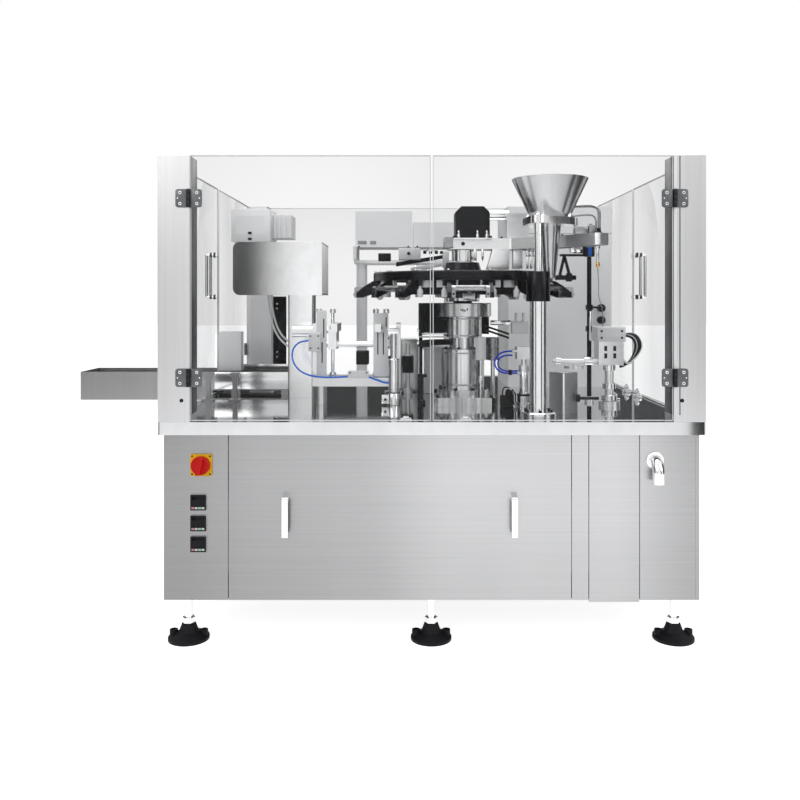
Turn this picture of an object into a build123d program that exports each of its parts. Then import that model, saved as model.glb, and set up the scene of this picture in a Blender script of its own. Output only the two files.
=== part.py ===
from build123d import *
import os
from math import cos, pi, radians, sin, sqrt, tan

# Premade pouch packing machine, in millimetres.
# X runs to the right and Y to the rear, seen from the operator's side.
# The floor is Z = 0 and the origin is the middle of the six feet.

os.makedirs("parts", exist_ok=True)

# Clearances
running_fit = 0.05
seat_gap = 0.3
panel_gap = 2.0

# Table
table_width = 1700.0
table_depth = 1550.0
table_height = 700.0
table_sheet = 8.0
table_lip = 40.0
table_corner = 6.0
half_width = table_width / 2
half_depth = table_depth / 2
table_under = table_height - table_sheet

# Cabinet under the table
cabinet_side_inset = 12.0
cabinet_front_inset = 25.0
cabinet_bottom = 140.0
cabinet_top = table_height - table_lip
cabinet_x = half_width - cabinet_side_inset
cabinet_y = half_depth - cabinet_front_inset
panel_depth = 20.0
panel_sheet = 2.5
frame_x = cabinet_x - panel_depth
frame_y = cabinet_y - panel_depth
frame_tube = 60.0
frame_tube_wall = 4.0
foot_boss_radius = 20.0
corner_strip = 12.0
control_panel_width = 201.0
service_panel_width = 1072.0
filler_width = 52.0
narrow_panel_width = 157.0
narrow_panel_drop = 6.0
louvre_z = 400.0
louvre_pitch = 24.0
louvre_count = 8
louvre_size = (220.0, 9.0)

# Feet
foot_spacing_x = 772.0
foot_y = frame_y - frame_tube / 2
foot_pad_radius = 65.0
foot_lug_offset = 48.0
foot_lug_radius = 13.0
foot_hole_radius = 5.5
foot_pad_top = 50.0
foot_screw_radius = 12.0
foot_screw_entry = 45.0
foot_nut_flats = 36.0
foot_nut_height = 16.0
foot_nut_seat = 4.0
foot_rim = 9.0
foot_rim_chamfer = 8.0
foot_shoulder = (32.0, 24.0)
foot_neck_radius = 22.0
foot_lug_height = 30.0

# Guard
guard_top = table_height + 828.0
post_width = 100.0
post_depth = 90.0
post_sheet = 3.0
door_sheet = 8.0
door_lift = 4.0
door_seam = 6.0
door_edge_gap = 2.0
side_seam_y = 45.0
chute_notch_top = table_height + 240.0
chute_notch_margin = 8.0

# Door hinges
hinge_pin_radius = 3.0
hinge_knuckle_radius = 6.0
hinge_pin_proud = 7.0
hinge_pin_inset = 3.0
hinge_leaf_sheet = 5.0
hinge_leaf_reach = 41.0
hinge_height = 57.0
hinge_upper_z = table_height + 694.0
hinge_lower_z = table_height + 138.0
knuckle_gap = 0.5
knuckle_relief = 0.6

# Handles
service_handle_offset = 355.0
service_handle_low = 334.0
service_handle_length = 144.0
service_handle_width = 18.0
service_handle_reach = 40.0
service_handle_grip = 12.0
service_handle_slant = 10.0
service_handle_foot = 6.0
service_handle_round = 8.0
guard_handle_radius = 6.0
guard_handle_length = 170.0
guard_handle_reach = 34.0
guard_handle_centre = table_height + 474.0
guard_handle_from_seam = 33.0
guard_handle_foot_radius = 10.0
guard_handle_foot = 6.0

# Main switch and temperature controllers
switch_x = -720.0
switch_z = 563.0
switch_plate_side = 68.0
switch_plate_sheet = 6.0
switch_neck_radius = 20.0
switch_shaft_radius = 6.0
switch_knob_radius = 29.0
switch_knob_depth = 16.0
switch_ridge_width = 16.0
switch_ridge_depth = 18.0
switch_ridge_length = 54.0
switch_ridge_angle = 78.0
switch_knob_chamfer = 3.0
switch_plate_corner = 5.0
switch_case_half = 31.0
switch_case_back = 66.0
switch_case_front = 8.0
switch_shaft_depth = 38.0
switch_shaft_room = 2.0
controller_x = -729.0
controller_rows = (446.0, 381.0, 316.0)
controller_face = 48.0
controller_case = 44.5
controller_depth = 80.0
controller_bezel = 8.0
controller_cutout_gap = 0.25
controller_window_half = 19.0
controller_window_low = 9.0
controller_window_depth = 2.0
controller_keys_drop = 16.5
controller_key_pitch = 10.5
controller_keys = 4
controller_key = (7.5, 5.0)
controller_key_rise = 0.8

# Vent elbow on the right cover
elbow_x = 699.0
elbow_outlet_z = 511.0
elbow_axis_z = 577.0
elbow_radius = 18.5
elbow_wall = 2.5
elbow_reach = 38.0
elbow_bend = 34.0
elbow_flange_radius = 27.0
elbow_flange = 4.0

# Carousel
carousel_x = 130.0
carousel_y = -265.0
pouch_radius = 390.0
stations = 8
spindle_radius = 20.0
shaft_radius = 35.0
shaft_bore_radius = 24.0
shaft_bottom = table_height - 100.0
column_base_side = 225.0
column_base_top = table_height + 28.0
column_base_chamfer = 16.0
column_flange_radius = 95.0
column_flange_top = table_height + 51.0
column_radius = 79.0
column_top = table_height + 198.0
column_neck_radius = 50.0
column_neck_top = table_height + 241.0
sleeve_radius = 70.0
sleeve_top = table_height + 316.0
bush_length = 34.0
column_relief_radius = 42.0
cam_ring_radius = 103.5
cam_ring_bottom = table_height + 322.0
cam_ring_top = table_height + 366.0
cam_groove_depth = 10.0
cam_groove_width = 16.0
hub_radius = 60.0
disc_radius = 330.0
disc_rim = 36.0
disc_bottom = table_height + 446.0
disc_top = disc_bottom + 32.0
disc_web_bottom = disc_bottom + 12.0
disc_web_top = disc_top - 8.0
hub_bottom = disc_bottom - 74.0
hub_top = disc_top + 38.0
disc_hub_flare = 14.0
disc_rim_chamfer = 4.0
disc_hole_radius = 42.0
disc_hole_circle = 185.0

# Pouch clips, in the frame of one station: reach from the axis, side, height
clip_arm_side = 62.0
clip_arm_width = 14.0
clip_arm_root = 298.0
clip_pivot_reach = 345.0
clip_pivot_height = disc_bottom - 28.0
clip_pin_radius = 5.0
clip_tube_radius = 10.0
clip_film_gap = 0.6
clip_pad = 8.0
clip_pad_bottom = clip_pivot_height - 32.0
clip_anvil_top = clip_pivot_height - 10.0
clip_lever_bottom = clip_pivot_height - 7.0
clip_lever_top = clip_pivot_height + 7.0
clip_lever_width = 12.0
clip_roller_reach = 306.0
clip_roller_height = clip_pivot_height - 28.0
clip_roller_radius = 12.0
clip_roller_width = 32.0
clip_arm_depth = 18.0
clip_arm_cover = 12.0
clip_arm_under = 16.0
clip_anvil_chamfer = 4.0
clip_anvil_half = 10.0
clip_pin_seat = 4.0
clip_lever_chamfer = 5.0
clip_cam_lever = 14.0
clip_cam_lever_half = 8.0

# Drive under the table
indexer_side = 320.0
indexer_bottom = table_height - 270.0
indexer_shaft_z = table_height - 180.0
indexer_corner = 24.0
drive_shaft_radius = 15.0
lantern_length = 120.0
lantern_radius = 90.0
lantern_wall = 16.0
motor_length = 250.0
motor_fin_height = 8.0
motor_fins = 16
motor_fin_width = 4.0
motor_cowl_length = 60.0
motor_cowl_radius = 98.0
motor_flange = 40.0
motor_box_x = (90.0, 190.0)
motor_box_half = 45.0
motor_box_rise = 42.0
lantern_rim = 20.0
shaft_end_depth = 28.0
shaft_end_room = 2.0
shaft_tail = 10.0
coupling_inset = 26.0
coupling_radius = 42.0
cam_plate_radius = 80.0
cam_plate_width = 24.0
cam_plate_throw = 22.0
cam_plate_places = (380.0, 470.0, 560.0)
bearing_plate_x = 660.0
bearing_plate_sheet = 40.0
bearing_plate_width = 120.0

# Filling station
fill_angle = -45.0
funnel_rim_radius = 128.0
funnel_rim_z = table_height + 786.0
funnel_neck_radius = 66.0
funnel_neck_z = table_height + 653.0
funnel_spout_radius = 37.0
funnel_spout_z = table_height + 628.0
funnel_tip_radius = 19.0
funnel_tip_z = table_height + 452.0
funnel_wall = 2.0
filler_post_x = 349.0
filler_post_y = -652.0
filler_flange_radius = 58.0
filler_flange = 18.0
filler_tube_radius = 27.5
filler_sleeve_radius = 37.5
filler_sleeve_bottom = table_height + 376.0
filler_sleeve_top = table_height + 470.0
filler_flange_chamfer = 4.0
filler_bore_room = 80.0
lift_rod_radius = 12.5
lift_rod_bottom = table_height + 300.0
clamp_bottom = table_height + 628.0
clamp_thickness = 24.0
clamp_tail = 26.0
clamp_margin = 26.0

# Overhead arm
arm_bottom = table_height + 563.0
arm_thickness = 40.0
arm_corner = 18.0
arm_wall = 12.0
arm_outline = (
    (72, -312), (300, -312), (475, -466), (556, -588), (604, -560), (582, -470),
    (480, -330), (360, -205), (72, -205),
)
cover_x = (100.0, 226.0)
cover_y = (-312.0, -212.0)
cover_height = 117.0
cover_chamfer = 22.0
cover_foot = 9.0
cover_foot_reach = 8.0
arm_motor_drop = 29.0
arm_motor_radius = 17.5
arm_motor_length = 60.0
arm_box_x = (290.0, 372.0)
arm_box_y = (-300.0, -230.0)
arm_box_height = 92.0

# Outfeed conveyor
conveyor_front = -18.0
conveyor_width = 200.0
conveyor_plate = 4.0
conveyor_outer_end = -1381.0
conveyor_inner_end = -500.0
conveyor_wall_x = -854.0
conveyor_bottom = table_height - 22.0
conveyor_rail_bottom = table_height + 16.0
conveyor_top = table_height + 90.0
roller_radius = 24.0
roller_shaft_radius = 8.0
belt_thickness = 3.0
belt_side_gap = 4.0
belt_axis_z = table_height + 52.0
conveyor_bed = 8.0
conveyor_legs = (-760.0, -560.0)
conveyor_leg_width = 36.0
conveyor_leg_sheet = 6.0
conveyor_leg_drop = 12.0
roller_end_gap = 8.0
nose_end_gap = 14.0
bed_end_gap = 6.0
nose_stub_radius = 10.0
bracket_places = ((-818.0, -240.0), (-718.0, -240.0))
bracket_foot = (44.0, 34.0, 8.0)
bracket_post = (18.0, 12.0, 90.0)
bracket_head = (32.0, 22.0, 16.0)

# Printer housing above the conveyor
housing_x = (-735.0, -398.0)
housing_y = (-200.0, 60.0)
housing_z = (table_height + 396.0, table_height + 597.0)
housing_corner = 26.0
housing_sheet = 3.0
housing_hollow_inset = 9.0
housing_column_wall = 6.0
housing_column_x = (-538.0, -439.0)
housing_column_y = (-120.0, -26.0)
housing_column_corner = 8.0

# Sealing station
jaw_stroke = 66.0
jaw_meeting_gap = 2.0
jaw_face_width = 190.0
jaw_face_height = 30.0
jaw_bar_thickness = 24.0
jaw_block_height = 64.0
jaw_block_depth = 36.0
jaw_z = table_height + 262.0
jaw_block_inset = 6.0
jaw_block_side = 18.0
jaw_block_drop = 8.0
jaw_rod_room = 2.0
seal_base_x = (-420.0, -100.0)
seal_base_y = (-330.0, -200.0)
seal_base_z = (table_height + 64.0, table_height + 96.0)
seal_guide_radius = 9.0
seal_guide_side = 42.0
seal_guide_drop = 48.0
seal_leg_radius = 16.0
seal_end_sheet = 16.0
seal_end_half = 60.0
seal_end_rise = 30.0
seal_leg_inset = 28.0
seal_cylinder_cap = 6.0
seal_port = (26.0, 28.0, 28.0)
seal_cylinder_radius = 22.0
seal_cylinder_length = 80.0
seal_rod_radius = 8.0
seal_post_places = ((-129.0, 27.0, 255.0), (-72.0, 12.0, 205.0))
station_post_radius = 9.0
collar_radius = 19.0
collar_height = 22.0
collar_rise = 90.0
collar_drop = 70.0

# Bag feeder behind the carousel
feeder_x = (-310.0, 146.0)
feeder_middle_rail = -56.0
feeder_rail_reach = 60.0
feeder_post_inset = 30.0
feeder_y = (330.0, 560.0)
feeder_deck_z = table_height + 538.0
feeder_deck = 14.0
feeder_rail = 12.0
feeder_rail_height = 58.0
feeder_hood_z = table_height + 720.0
magazine_hood_z = table_height + 769.0
hood_gap = 2.0
feeder_hood_wall = 3.0
feeder_post_radius = 20.0
rear_unit_x = (-812.0, -651.0)
rear_unit_y = (138.0, 330.0)
rear_unit_z = (table_height + 620.0, table_height + 759.0)
rear_unit_nose = 60.0
rear_column_x = (-743.0, -657.0)
rear_column_y = (212.0, 282.0)
rear_column_foot = 12.0
side_unit_x1 = -567.0
side_unit_z = (table_height + 640.0, table_height + 737.0)
side_unit_ribs = 4
side_unit_rib = 5.0
hood_inset_front = 10.0

# Electrical cabinet
electrical_x = (half_width - 490.0, half_width - 39.0)
electrical_y = (half_depth - 514.0, half_depth - 115.0)
electrical_top = table_height + 781.0
electrical_door_sheet = 14.0
electrical_door_margin = 12.0
electrical_sheet = 3.0
electrical_corner = 6.0
regulator_x = 760.0
regulator_rows = (table_height + 342.0, table_height + 290.0)
regulator_radius = 17.0
regulator_length = 26.0
regulator_neck_radius = 6.0
regulator_neck = 10.0
regulator_socket = 20.0
regulator_socket_room = 1.0
regulator_chamfer = 3.0

# Opening station, to the right of the carousel
opener_post = (650.0, -359.0)
opener_post_radius = 16.0
opener_post_top = table_height + 148.0
post_foot_radius = 38.0
post_foot = 16.0
opener_head_rim = (5.0, 6.0)
opener_head_corner = 8.0
opener_dial_drop = 26.0
opener_dial_stem = 4.0
opener_block_x = (604.0, 692.0)
opener_block_depth = 80.0
opener_block_z = (table_height + 148.0, table_height + 230.0)
opener_head_top = table_height + 281.0
opener_bar_z = table_height + 158.6
opener_bar_radius = 8.0
opener_bar_end = 448.0
opener_dial_x = 526.0
opener_dial_radius = 37.0
opener_dial = 10.0
valve_post = (340.0, -387.0)
valve_post_top = table_height + 168.0
valve_block_side = 56.0
valve_block_height = 44.0
sensor_rod = (604.0, -240.0)
sensor_rod_radius = 6.0
sensor_foot = (18.0, 14.0)
sensor_rod_top = table_height + 540.0
sensor_head = (34.0, 26.0, 38.0)
feeder_box_place = (448.0, -560.0)
feeder_box_side = 70.0
feeder_box_height = 136.0
feeder_box_turn = 35.0
feeder_box_corner = 6.0

# Air hoses
hose_radius = 3.0
fitting_radius = 6.5
fitting_length = 14.0
hose_bend_share = 0.45
left_hose = (
    (-434, -300, 929), (-462, -301, 928), (-488, -306, 910), (-497, -315, 879),
    (-488, -327, 846), (-463, -337, 819), (-424, -344, 803), (-374, -346, 798),
    (-320, -345, 799), (-268, -345, 803), (-222, -345, 802), (-186, -345, 789),
    (-160, -344, 779), (-144, -344, 778),
)
right_hose = (
    (298, -387, 896), (276, -388, 896), (250, -390, 887), (233, -392, 862),
    (240, -392, 833), (264, -390, 818), (294, -388, 817), (316, -387, 818),
)


def slab(x_span, y_span, z_span, mode=Mode.ADD):
    """A rectangular block between two values on each axis."""
    with BuildSketch(Plane.XY.offset(z_span[0])) as outline:
        with Locations(((x_span[0] + x_span[1]) / 2, (y_span[0] + y_span[1]) / 2)):
            Rectangle(x_span[1] - x_span[0], y_span[1] - y_span[0])
    extrude(outline.sketch, amount=z_span[1] - z_span[0], mode=mode)


def inset(span, wall):
    """A span that is shorter by a wall at each end."""
    return (span[0] + wall, span[1] - wall)


def turned(place, profile, mode=Mode.ADD):
    """A turned part about a vertical axis, from its (radius, height) profile."""
    section = Plane(origin=(place[0], place[1], 0), x_dir=(1, 0, 0), z_dir=(0, -1, 0))
    with BuildSketch(section) as outline:
        with BuildLine():
            Polyline(*profile, close=True)
        make_face()
    revolve(outline.sketch, axis=Axis((place[0], place[1], 0), (0, 0, 1)), mode=mode)


def bar(start, end, radius, mode=Mode.ADD):
    """A round bar, or a bore, from one point to another."""
    run = Vector(end) - Vector(start)
    with BuildSketch(Plane(origin=start, z_dir=run)) as outline:
        Circle(radius)
    extrude(outline.sketch, amount=run.length, mode=mode)


def hexagon_nut(place, flats, z_span, mode=Mode.ADD):
    """A hexagon across its flats between two heights."""
    with BuildSketch(Plane.XY.offset(z_span[0])) as outline:
        with Locations(place):
            RegularPolygon(flats / sqrt(3), 6)
    extrude(outline.sketch, amount=z_span[1] - z_span[0], mode=mode)


def folded_panel(x_span, z_span):
    """A front sheet with its four edges folded back to the frame."""
    slab(x_span, (-cabinet_y, -frame_y), z_span)
    slab(
        (x_span[0] + panel_sheet, x_span[1] - panel_sheet),
        (-cabinet_y + panel_sheet, -frame_y),
        (z_span[0] + panel_sheet, z_span[1] - panel_sheet),
        mode=Mode.SUBTRACT,
    )


def station_point(angle, reach, side=0.0):
    """A point in plan, from a station's angle, its reach and its side."""
    a = radians(angle)
    return (
        carousel_x + reach * cos(a) - side * sin(a),
        carousel_y + reach * sin(a) + side * cos(a),
    )


def bend_radii(points):
    """The largest round bends that the runs of a hose allow."""
    radii = []
    for before, corner, after in zip(points, points[1:], points[2:]):
        run_in = Vector(corner) - Vector(before)
        run_out = Vector(after) - Vector(corner)
        turn = radians(run_in.get_angle(run_out))
        radii.append(hose_bend_share * min(run_in.length, run_out.length) / tan(turn / 2))
    return radii


# The six feet stand in two rows, and the outer four carry the bolt pattern.
foot_places = [(x, y) for x in (-foot_spacing_x, 0, foot_spacing_x) for y in (-foot_y, foot_y)]

with BuildPart() as foot_pads:
    for place in foot_places:
        turned(
            place,
            [
                (0, 0), (foot_pad_radius, 0), (foot_pad_radius, foot_rim),
                (foot_pad_radius - foot_rim_chamfer, foot_rim + foot_rim_chamfer / 2),
                foot_shoulder, (foot_neck_radius, foot_pad_top), (0, foot_pad_top),
            ],
        )
        for side in (-1, 1):
            lug = (place[0] + side * foot_lug_offset, place[1])
            lug_top = (*lug, foot_lug_height)
            bar((*lug, 0), lug_top, foot_lug_radius)
            bar((*lug, 0), lug_top, foot_hole_radius, mode=Mode.SUBTRACT)
foot_pads.part.label = "foot_pads"
export_step(foot_pads.part, "parts/foot_pads.step")

with BuildPart() as foot_screws:
    for place in foot_places:
        bar((*place, foot_pad_top), (*place, cabinet_bottom + foot_screw_entry), foot_screw_radius)
        for low in (foot_pad_top + foot_nut_seat, cabinet_bottom - foot_nut_height):
            hexagon_nut(place, foot_nut_flats, (low, low + foot_nut_height))
foot_screws.part.label = "foot_screws"
export_step(foot_screws.part, "parts/foot_screws.step")

# The base frame is welded square tube, with hangers for the drive.
with BuildPart() as base_frame:
    low_rail = (cabinet_bottom, cabinet_bottom + frame_tube)
    high_rail = (table_under - frame_tube, table_under)
    between = (-frame_y + frame_tube, frame_y - frame_tube)
    tubes = []
    for edge in (-1, 1):
        edge_x = sorted((edge * frame_x, edge * (frame_x - frame_tube)))
        edge_y = sorted((edge * frame_y, edge * (frame_y - frame_tube)))
        for rail in (low_rail, high_rail):
            tubes.append(((-frame_x, frame_x), edge_y, rail))
            tubes.append((edge_x, (-frame_y, frame_y), rail))
        for edge_y_of_post in (edge_y, sorted((-edge_y[0], -edge_y[1]))):
            tubes.append((edge_x, edge_y_of_post, (cabinet_bottom, table_under)))
    middle_rail = (-frame_tube / 2, frame_tube / 2)
    drive_rail = (bearing_plate_x - frame_tube / 2, bearing_plate_x + frame_tube / 2)
    tubes.append((middle_rail, between, low_rail))
    tubes.append((drive_rail, between, low_rail))
    tubes.append((drive_rail, between, high_rail))
    for spans in tubes:
        slab(*spans)
    for spans in tubes:
        slab(*[inset(span, frame_tube_wall) for span in spans], mode=Mode.SUBTRACT)
    slab(
        (bearing_plate_x - bearing_plate_sheet / 2, bearing_plate_x + bearing_plate_sheet / 2),
        (carousel_y - bearing_plate_width / 2, carousel_y + bearing_plate_width / 2),
        (indexer_shaft_z - bearing_plate_width / 2, table_under - frame_tube),
    )
    bar(
        (bearing_plate_x - frame_tube, carousel_y, indexer_shaft_z),
        (bearing_plate_x + frame_tube, carousel_y, indexer_shaft_z),
        drive_shaft_radius + running_fit,
        mode=Mode.SUBTRACT,
    )
    for place in foot_places:
        top = (*place, cabinet_bottom + foot_screw_entry)
        bar((*place, cabinet_bottom), top, foot_boss_radius)
        bar((*place, cabinet_bottom), top, foot_screw_radius + running_fit, mode=Mode.SUBTRACT)
base_frame.part.label = "base_frame"
export_step(base_frame.part, "parts/base_frame.step")

# The table is a folded steel tray turned upside down over the frame.
with BuildPart() as table_top:
    slab((-half_width, half_width), (-half_depth, half_depth), (cabinet_top, table_height))
    fillet(table_top.edges().filter_by(Axis.Z), radius=table_corner)
    slab(
        (-half_width + table_sheet, half_width - table_sheet),
        (-half_depth + table_sheet, half_depth - table_sheet),
        (cabinet_top, table_under),
        mode=Mode.SUBTRACT,
    )
    bar(
        (carousel_x, carousel_y, table_under),
        (carousel_x, carousel_y, table_height),
        column_neck_radius,
        mode=Mode.SUBTRACT,
    )
table_top.part.label = "table_top"
export_step(table_top.part, "parts/table_top.step")

# Side and rear walls are one folded sheet with flanges that meet the frame.
with BuildPart() as cabinet_body:
    outer = ((-cabinet_x, cabinet_x), (-frame_y, cabinet_y))
    slab(*outer, (cabinet_bottom, cabinet_top))
    slab(
        (-cabinet_x + panel_sheet, cabinet_x - panel_sheet),
        (-frame_y, cabinet_y - panel_sheet),
        (cabinet_bottom + panel_sheet, cabinet_top - panel_sheet),
        mode=Mode.SUBTRACT,
    )
    slab(
        (-frame_x, frame_x),
        (-frame_y, frame_y),
        (cabinet_bottom, cabinet_top),
        mode=Mode.SUBTRACT,
    )
    slab((cabinet_x - panel_sheet, cabinet_x), (-cabinet_y, -frame_y), (cabinet_bottom, cabinet_top))
    slab(
        (cabinet_x - corner_strip, cabinet_x),
        (-cabinet_y, -cabinet_y + panel_sheet),
        (cabinet_bottom, cabinet_top),
    )
    with BuildSketch(Plane.XZ.offset(-cabinet_y)) as louvres:
        with Locations((-cabinet_x / 2, louvre_z), (cabinet_x / 2, louvre_z)):
            with GridLocations(0, louvre_pitch, 1, louvre_count):
                SlotOverall(*louvre_size)
    extrude(louvres.sketch, amount=panel_sheet, mode=Mode.SUBTRACT)
cabinet_body.part.label = "cabinet_body"
export_step(cabinet_body.part, "parts/cabinet_body.step")

# The front row of panels runs from the left corner to the corner strip.
panel_height = (cabinet_bottom, cabinet_top)
control_panel_x = (-cabinet_x, -cabinet_x + control_panel_width)
service_panel_x = (
    control_panel_x[1] + panel_gap,
    control_panel_x[1] + panel_gap + service_panel_width,
)
filler_x = (service_panel_x[1] + panel_gap, service_panel_x[1] + panel_gap + filler_width)
narrow_x = (filler_x[1] + panel_gap, filler_x[1] + panel_gap + narrow_panel_width)
right_x = (narrow_x[1] + panel_gap, cabinet_x - corner_strip)

with BuildPart() as control_panel:
    folded_panel(control_panel_x, panel_height)
    with BuildSketch(Plane.XZ.offset(cabinet_y)) as cutouts:
        with Locations(*[(controller_x, z) for z in controller_rows]):
            cutout = controller_case + 2 * controller_cutout_gap
            Rectangle(cutout, cutout)
        with Locations((switch_x, switch_z)):
            Circle(switch_neck_radius + running_fit)
    extrude(cutouts.sketch, amount=-panel_sheet, mode=Mode.SUBTRACT)
control_panel.part.label = "control_panel"
export_step(control_panel.part, "parts/control_panel.step")

with BuildPart() as service_panel:
    folded_panel(service_panel_x, panel_height)
service_panel.part.label = "service_panel"
export_step(service_panel.part, "parts/service_panel.step")

with BuildPart() as right_covers:
    folded_panel(filler_x, panel_height)
    folded_panel(narrow_x, (cabinet_bottom - narrow_panel_drop, cabinet_top))
    folded_panel(right_x, panel_height)
    bar(
        (elbow_x, -cabinet_y, elbow_axis_z),
        (elbow_x, -cabinet_y + panel_sheet, elbow_axis_z),
        elbow_radius - elbow_wall,
        mode=Mode.SUBTRACT,
    )
right_covers.part.label = "right_covers"
export_step(right_covers.part, "parts/right_covers.step")

# Each handle is a flat bow on two feet.
service_panel_middle = (service_panel_x[0] + service_panel_x[1]) / 2
with BuildPart() as service_handles:
    for side in (-1, 1):
        handle_x = service_panel_middle + side * service_handle_offset
        with BuildSketch(Plane.YZ.offset(handle_x - service_handle_width / 2)) as bow:
            with BuildLine():
                y0 = -cabinet_y
                y1 = y0 - service_handle_reach
                z0 = service_handle_low
                z1 = z0 + service_handle_length
                grip = service_handle_grip
                slant = service_handle_slant
                leg = grip + service_handle_foot
                Polyline(
                    (y0, z0), (y1, z0 + slant), (y1, z1 - slant), (y0, z1), (y0, z1 - leg),
                    (y1 + grip, z1 - leg - slant), (y1 + grip, z0 + leg + slant),
                    (y0, z0 + leg),
                    close=True,
                )
            make_face()
        extrude(bow.sketch, amount=service_handle_width)
    front_edges = service_handles.edges().filter_by(Axis.X).group_by(Axis.Y)[0]
    fillet(front_edges, radius=service_handle_round)
service_handles.part.label = "service_handles"
export_step(service_handles.part, "parts/service_handles.step")

# The main switch has its body behind the panel and a neck through it.
with BuildPart() as switch_body:
    half_plate = switch_plate_side / 2
    slab(
        (switch_x - half_plate, switch_x + half_plate),
        (-cabinet_y - switch_plate_sheet, -cabinet_y),
        (switch_z - half_plate, switch_z + half_plate),
    )
    fillet(switch_body.edges().filter_by(Axis.Y), radius=switch_plate_corner)
    bar(
        (switch_x, -cabinet_y, switch_z),
        (switch_x, -cabinet_y + switch_case_front, switch_z),
        switch_neck_radius,
    )
    slab(
        (switch_x - switch_case_half, switch_x + switch_case_half),
        (-cabinet_y + switch_case_front, -cabinet_y + switch_case_back),
        (switch_z - switch_case_half, switch_z + switch_case_half),
    )
    shaft_end = -cabinet_y + switch_shaft_depth
    bar(
        (switch_x, -cabinet_y - switch_plate_sheet, switch_z),
        (switch_x, shaft_end + switch_shaft_room, switch_z),
        switch_shaft_radius + running_fit,
        mode=Mode.SUBTRACT,
    )
switch_body.part.label = "switch_body"
export_step(switch_body.part, "parts/switch_body.step")

knob_back = -cabinet_y - switch_plate_sheet - seat_gap
with BuildPart() as switch_knob:
    bar(
        (switch_x, knob_back, switch_z),
        (switch_x, knob_back - switch_knob_depth, switch_z),
        switch_knob_radius,
    )
    chamfer(switch_knob.faces().sort_by(Axis.Y)[0].edges(), length=switch_knob_chamfer)
    ridge_turn = radians(switch_ridge_angle)
    front = Plane(
        origin=(switch_x, knob_back - switch_knob_depth, switch_z),
        x_dir=(cos(ridge_turn), 0, sin(ridge_turn)),
        z_dir=(0, -1, 0),
    )
    with BuildSketch(front) as ridge:
        SlotOverall(switch_ridge_length, switch_ridge_width)
    extrude(ridge.sketch, amount=switch_ridge_depth)
    bar(
        (switch_x, knob_back, switch_z),
        (switch_x, shaft_end, switch_z),
        switch_shaft_radius,
    )
switch_knob.part.label = "switch_knob"
export_step(switch_knob.part, "parts/switch_knob.step")

with BuildPart() as temperature_controllers:
    for z in controller_rows:
        face_y = -cabinet_y - controller_bezel
        half_face = controller_face / 2
        slab(
            (controller_x - half_face, controller_x + half_face),
            (face_y, -cabinet_y),
            (z - half_face, z + half_face),
        )
        slab(
            (controller_x - controller_window_half, controller_x + controller_window_half),
            (face_y, face_y + controller_window_depth),
            (z - controller_window_low, z + controller_window_half),
            mode=Mode.SUBTRACT,
        )
        with BuildSketch(Plane.XZ.offset(-face_y)) as keys:
            with Locations((controller_x, z - controller_keys_drop)):
                with GridLocations(controller_key_pitch, 0, controller_keys, 1):
                    Rectangle(*controller_key)
        extrude(keys.sketch, amount=controller_key_rise)
        half_case = controller_case / 2
        slab(
            (controller_x - half_case, controller_x + half_case),
            (-cabinet_y, -cabinet_y + controller_depth),
            (z - half_case, z + half_case),
        )
temperature_controllers.part.label = "temperature_controllers"
export_step(temperature_controllers.part, "parts/temperature_controllers.step")

# The vent elbow leaves the right cover and turns down.
elbow_turn = (elbow_x, -cabinet_y - elbow_reach, elbow_axis_z)
with BuildPart() as vent_elbow:
    with BuildLine() as elbow_path:
        FilletPolyline(
            (elbow_x, -cabinet_y, elbow_axis_z),
            elbow_turn,
            (elbow_x, -cabinet_y - elbow_reach, elbow_outlet_z),
            radius=elbow_bend,
        )
    with BuildSketch(Plane.XZ.offset(cabinet_y)) as elbow_section:
        with Locations((elbow_x, elbow_axis_z)):
            Circle(elbow_radius)
            Circle(elbow_radius - elbow_wall, mode=Mode.SUBTRACT)
    sweep(elbow_section.sketch, path=elbow_path.line)
    with BuildSketch(Plane.XZ.offset(cabinet_y)) as elbow_collar:
        with Locations((elbow_x, elbow_axis_z)):
            Circle(elbow_flange_radius)
            Circle(elbow_radius - elbow_wall, mode=Mode.SUBTRACT)
    extrude(elbow_collar.sketch, amount=elbow_flange)
vent_elbow.part.label = "vent_elbow"
export_step(vent_elbow.part, "parts/vent_elbow.step")

# Four closed posts carry the guard doors.
with BuildPart() as guard_posts:
    for side_x in (-1, 1):
        for side_y in (-1, 1):
            xs = sorted((side_x * half_width, side_x * (half_width - post_width)))
            ys = sorted((side_y * half_depth, side_y * (half_depth - post_depth)))
            slab(xs, ys, (table_height, guard_top))
            slab(
                (xs[0] + post_sheet, xs[1] - post_sheet),
                (ys[0] + post_sheet, ys[1] - post_sheet),
                (table_height, guard_top - post_sheet),
                mode=Mode.SUBTRACT,
            )
guard_posts.part.label = "guard_posts"
export_step(guard_posts.part, "parts/guard_posts.step")

post_inner_x = half_width - post_width
post_inner_y = half_depth - post_depth
with BuildPart() as rear_guard:
    slab(
        (-post_inner_x, post_inner_x),
        (half_depth - door_sheet, half_depth),
        (table_height, guard_top),
    )
rear_guard.part.label = "rear_guard"
export_step(rear_guard.part, "parts/rear_guard.step")

# A hinge is drawn in its own plane: u runs from the pin along the door, and
# w runs from the pin to the faces of post and door.
knuckle_height = hinge_height / 3
hinge_rows = (hinge_lower_z, hinge_upper_z)


def hinge_plane(pin, along, height):
    """The plan plane of one hinge at a height, with its u axis along the door."""
    return Plane(origin=(pin[0], pin[1], height), x_dir=(*along, 0), z_dir=(0, 0, 1))


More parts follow.
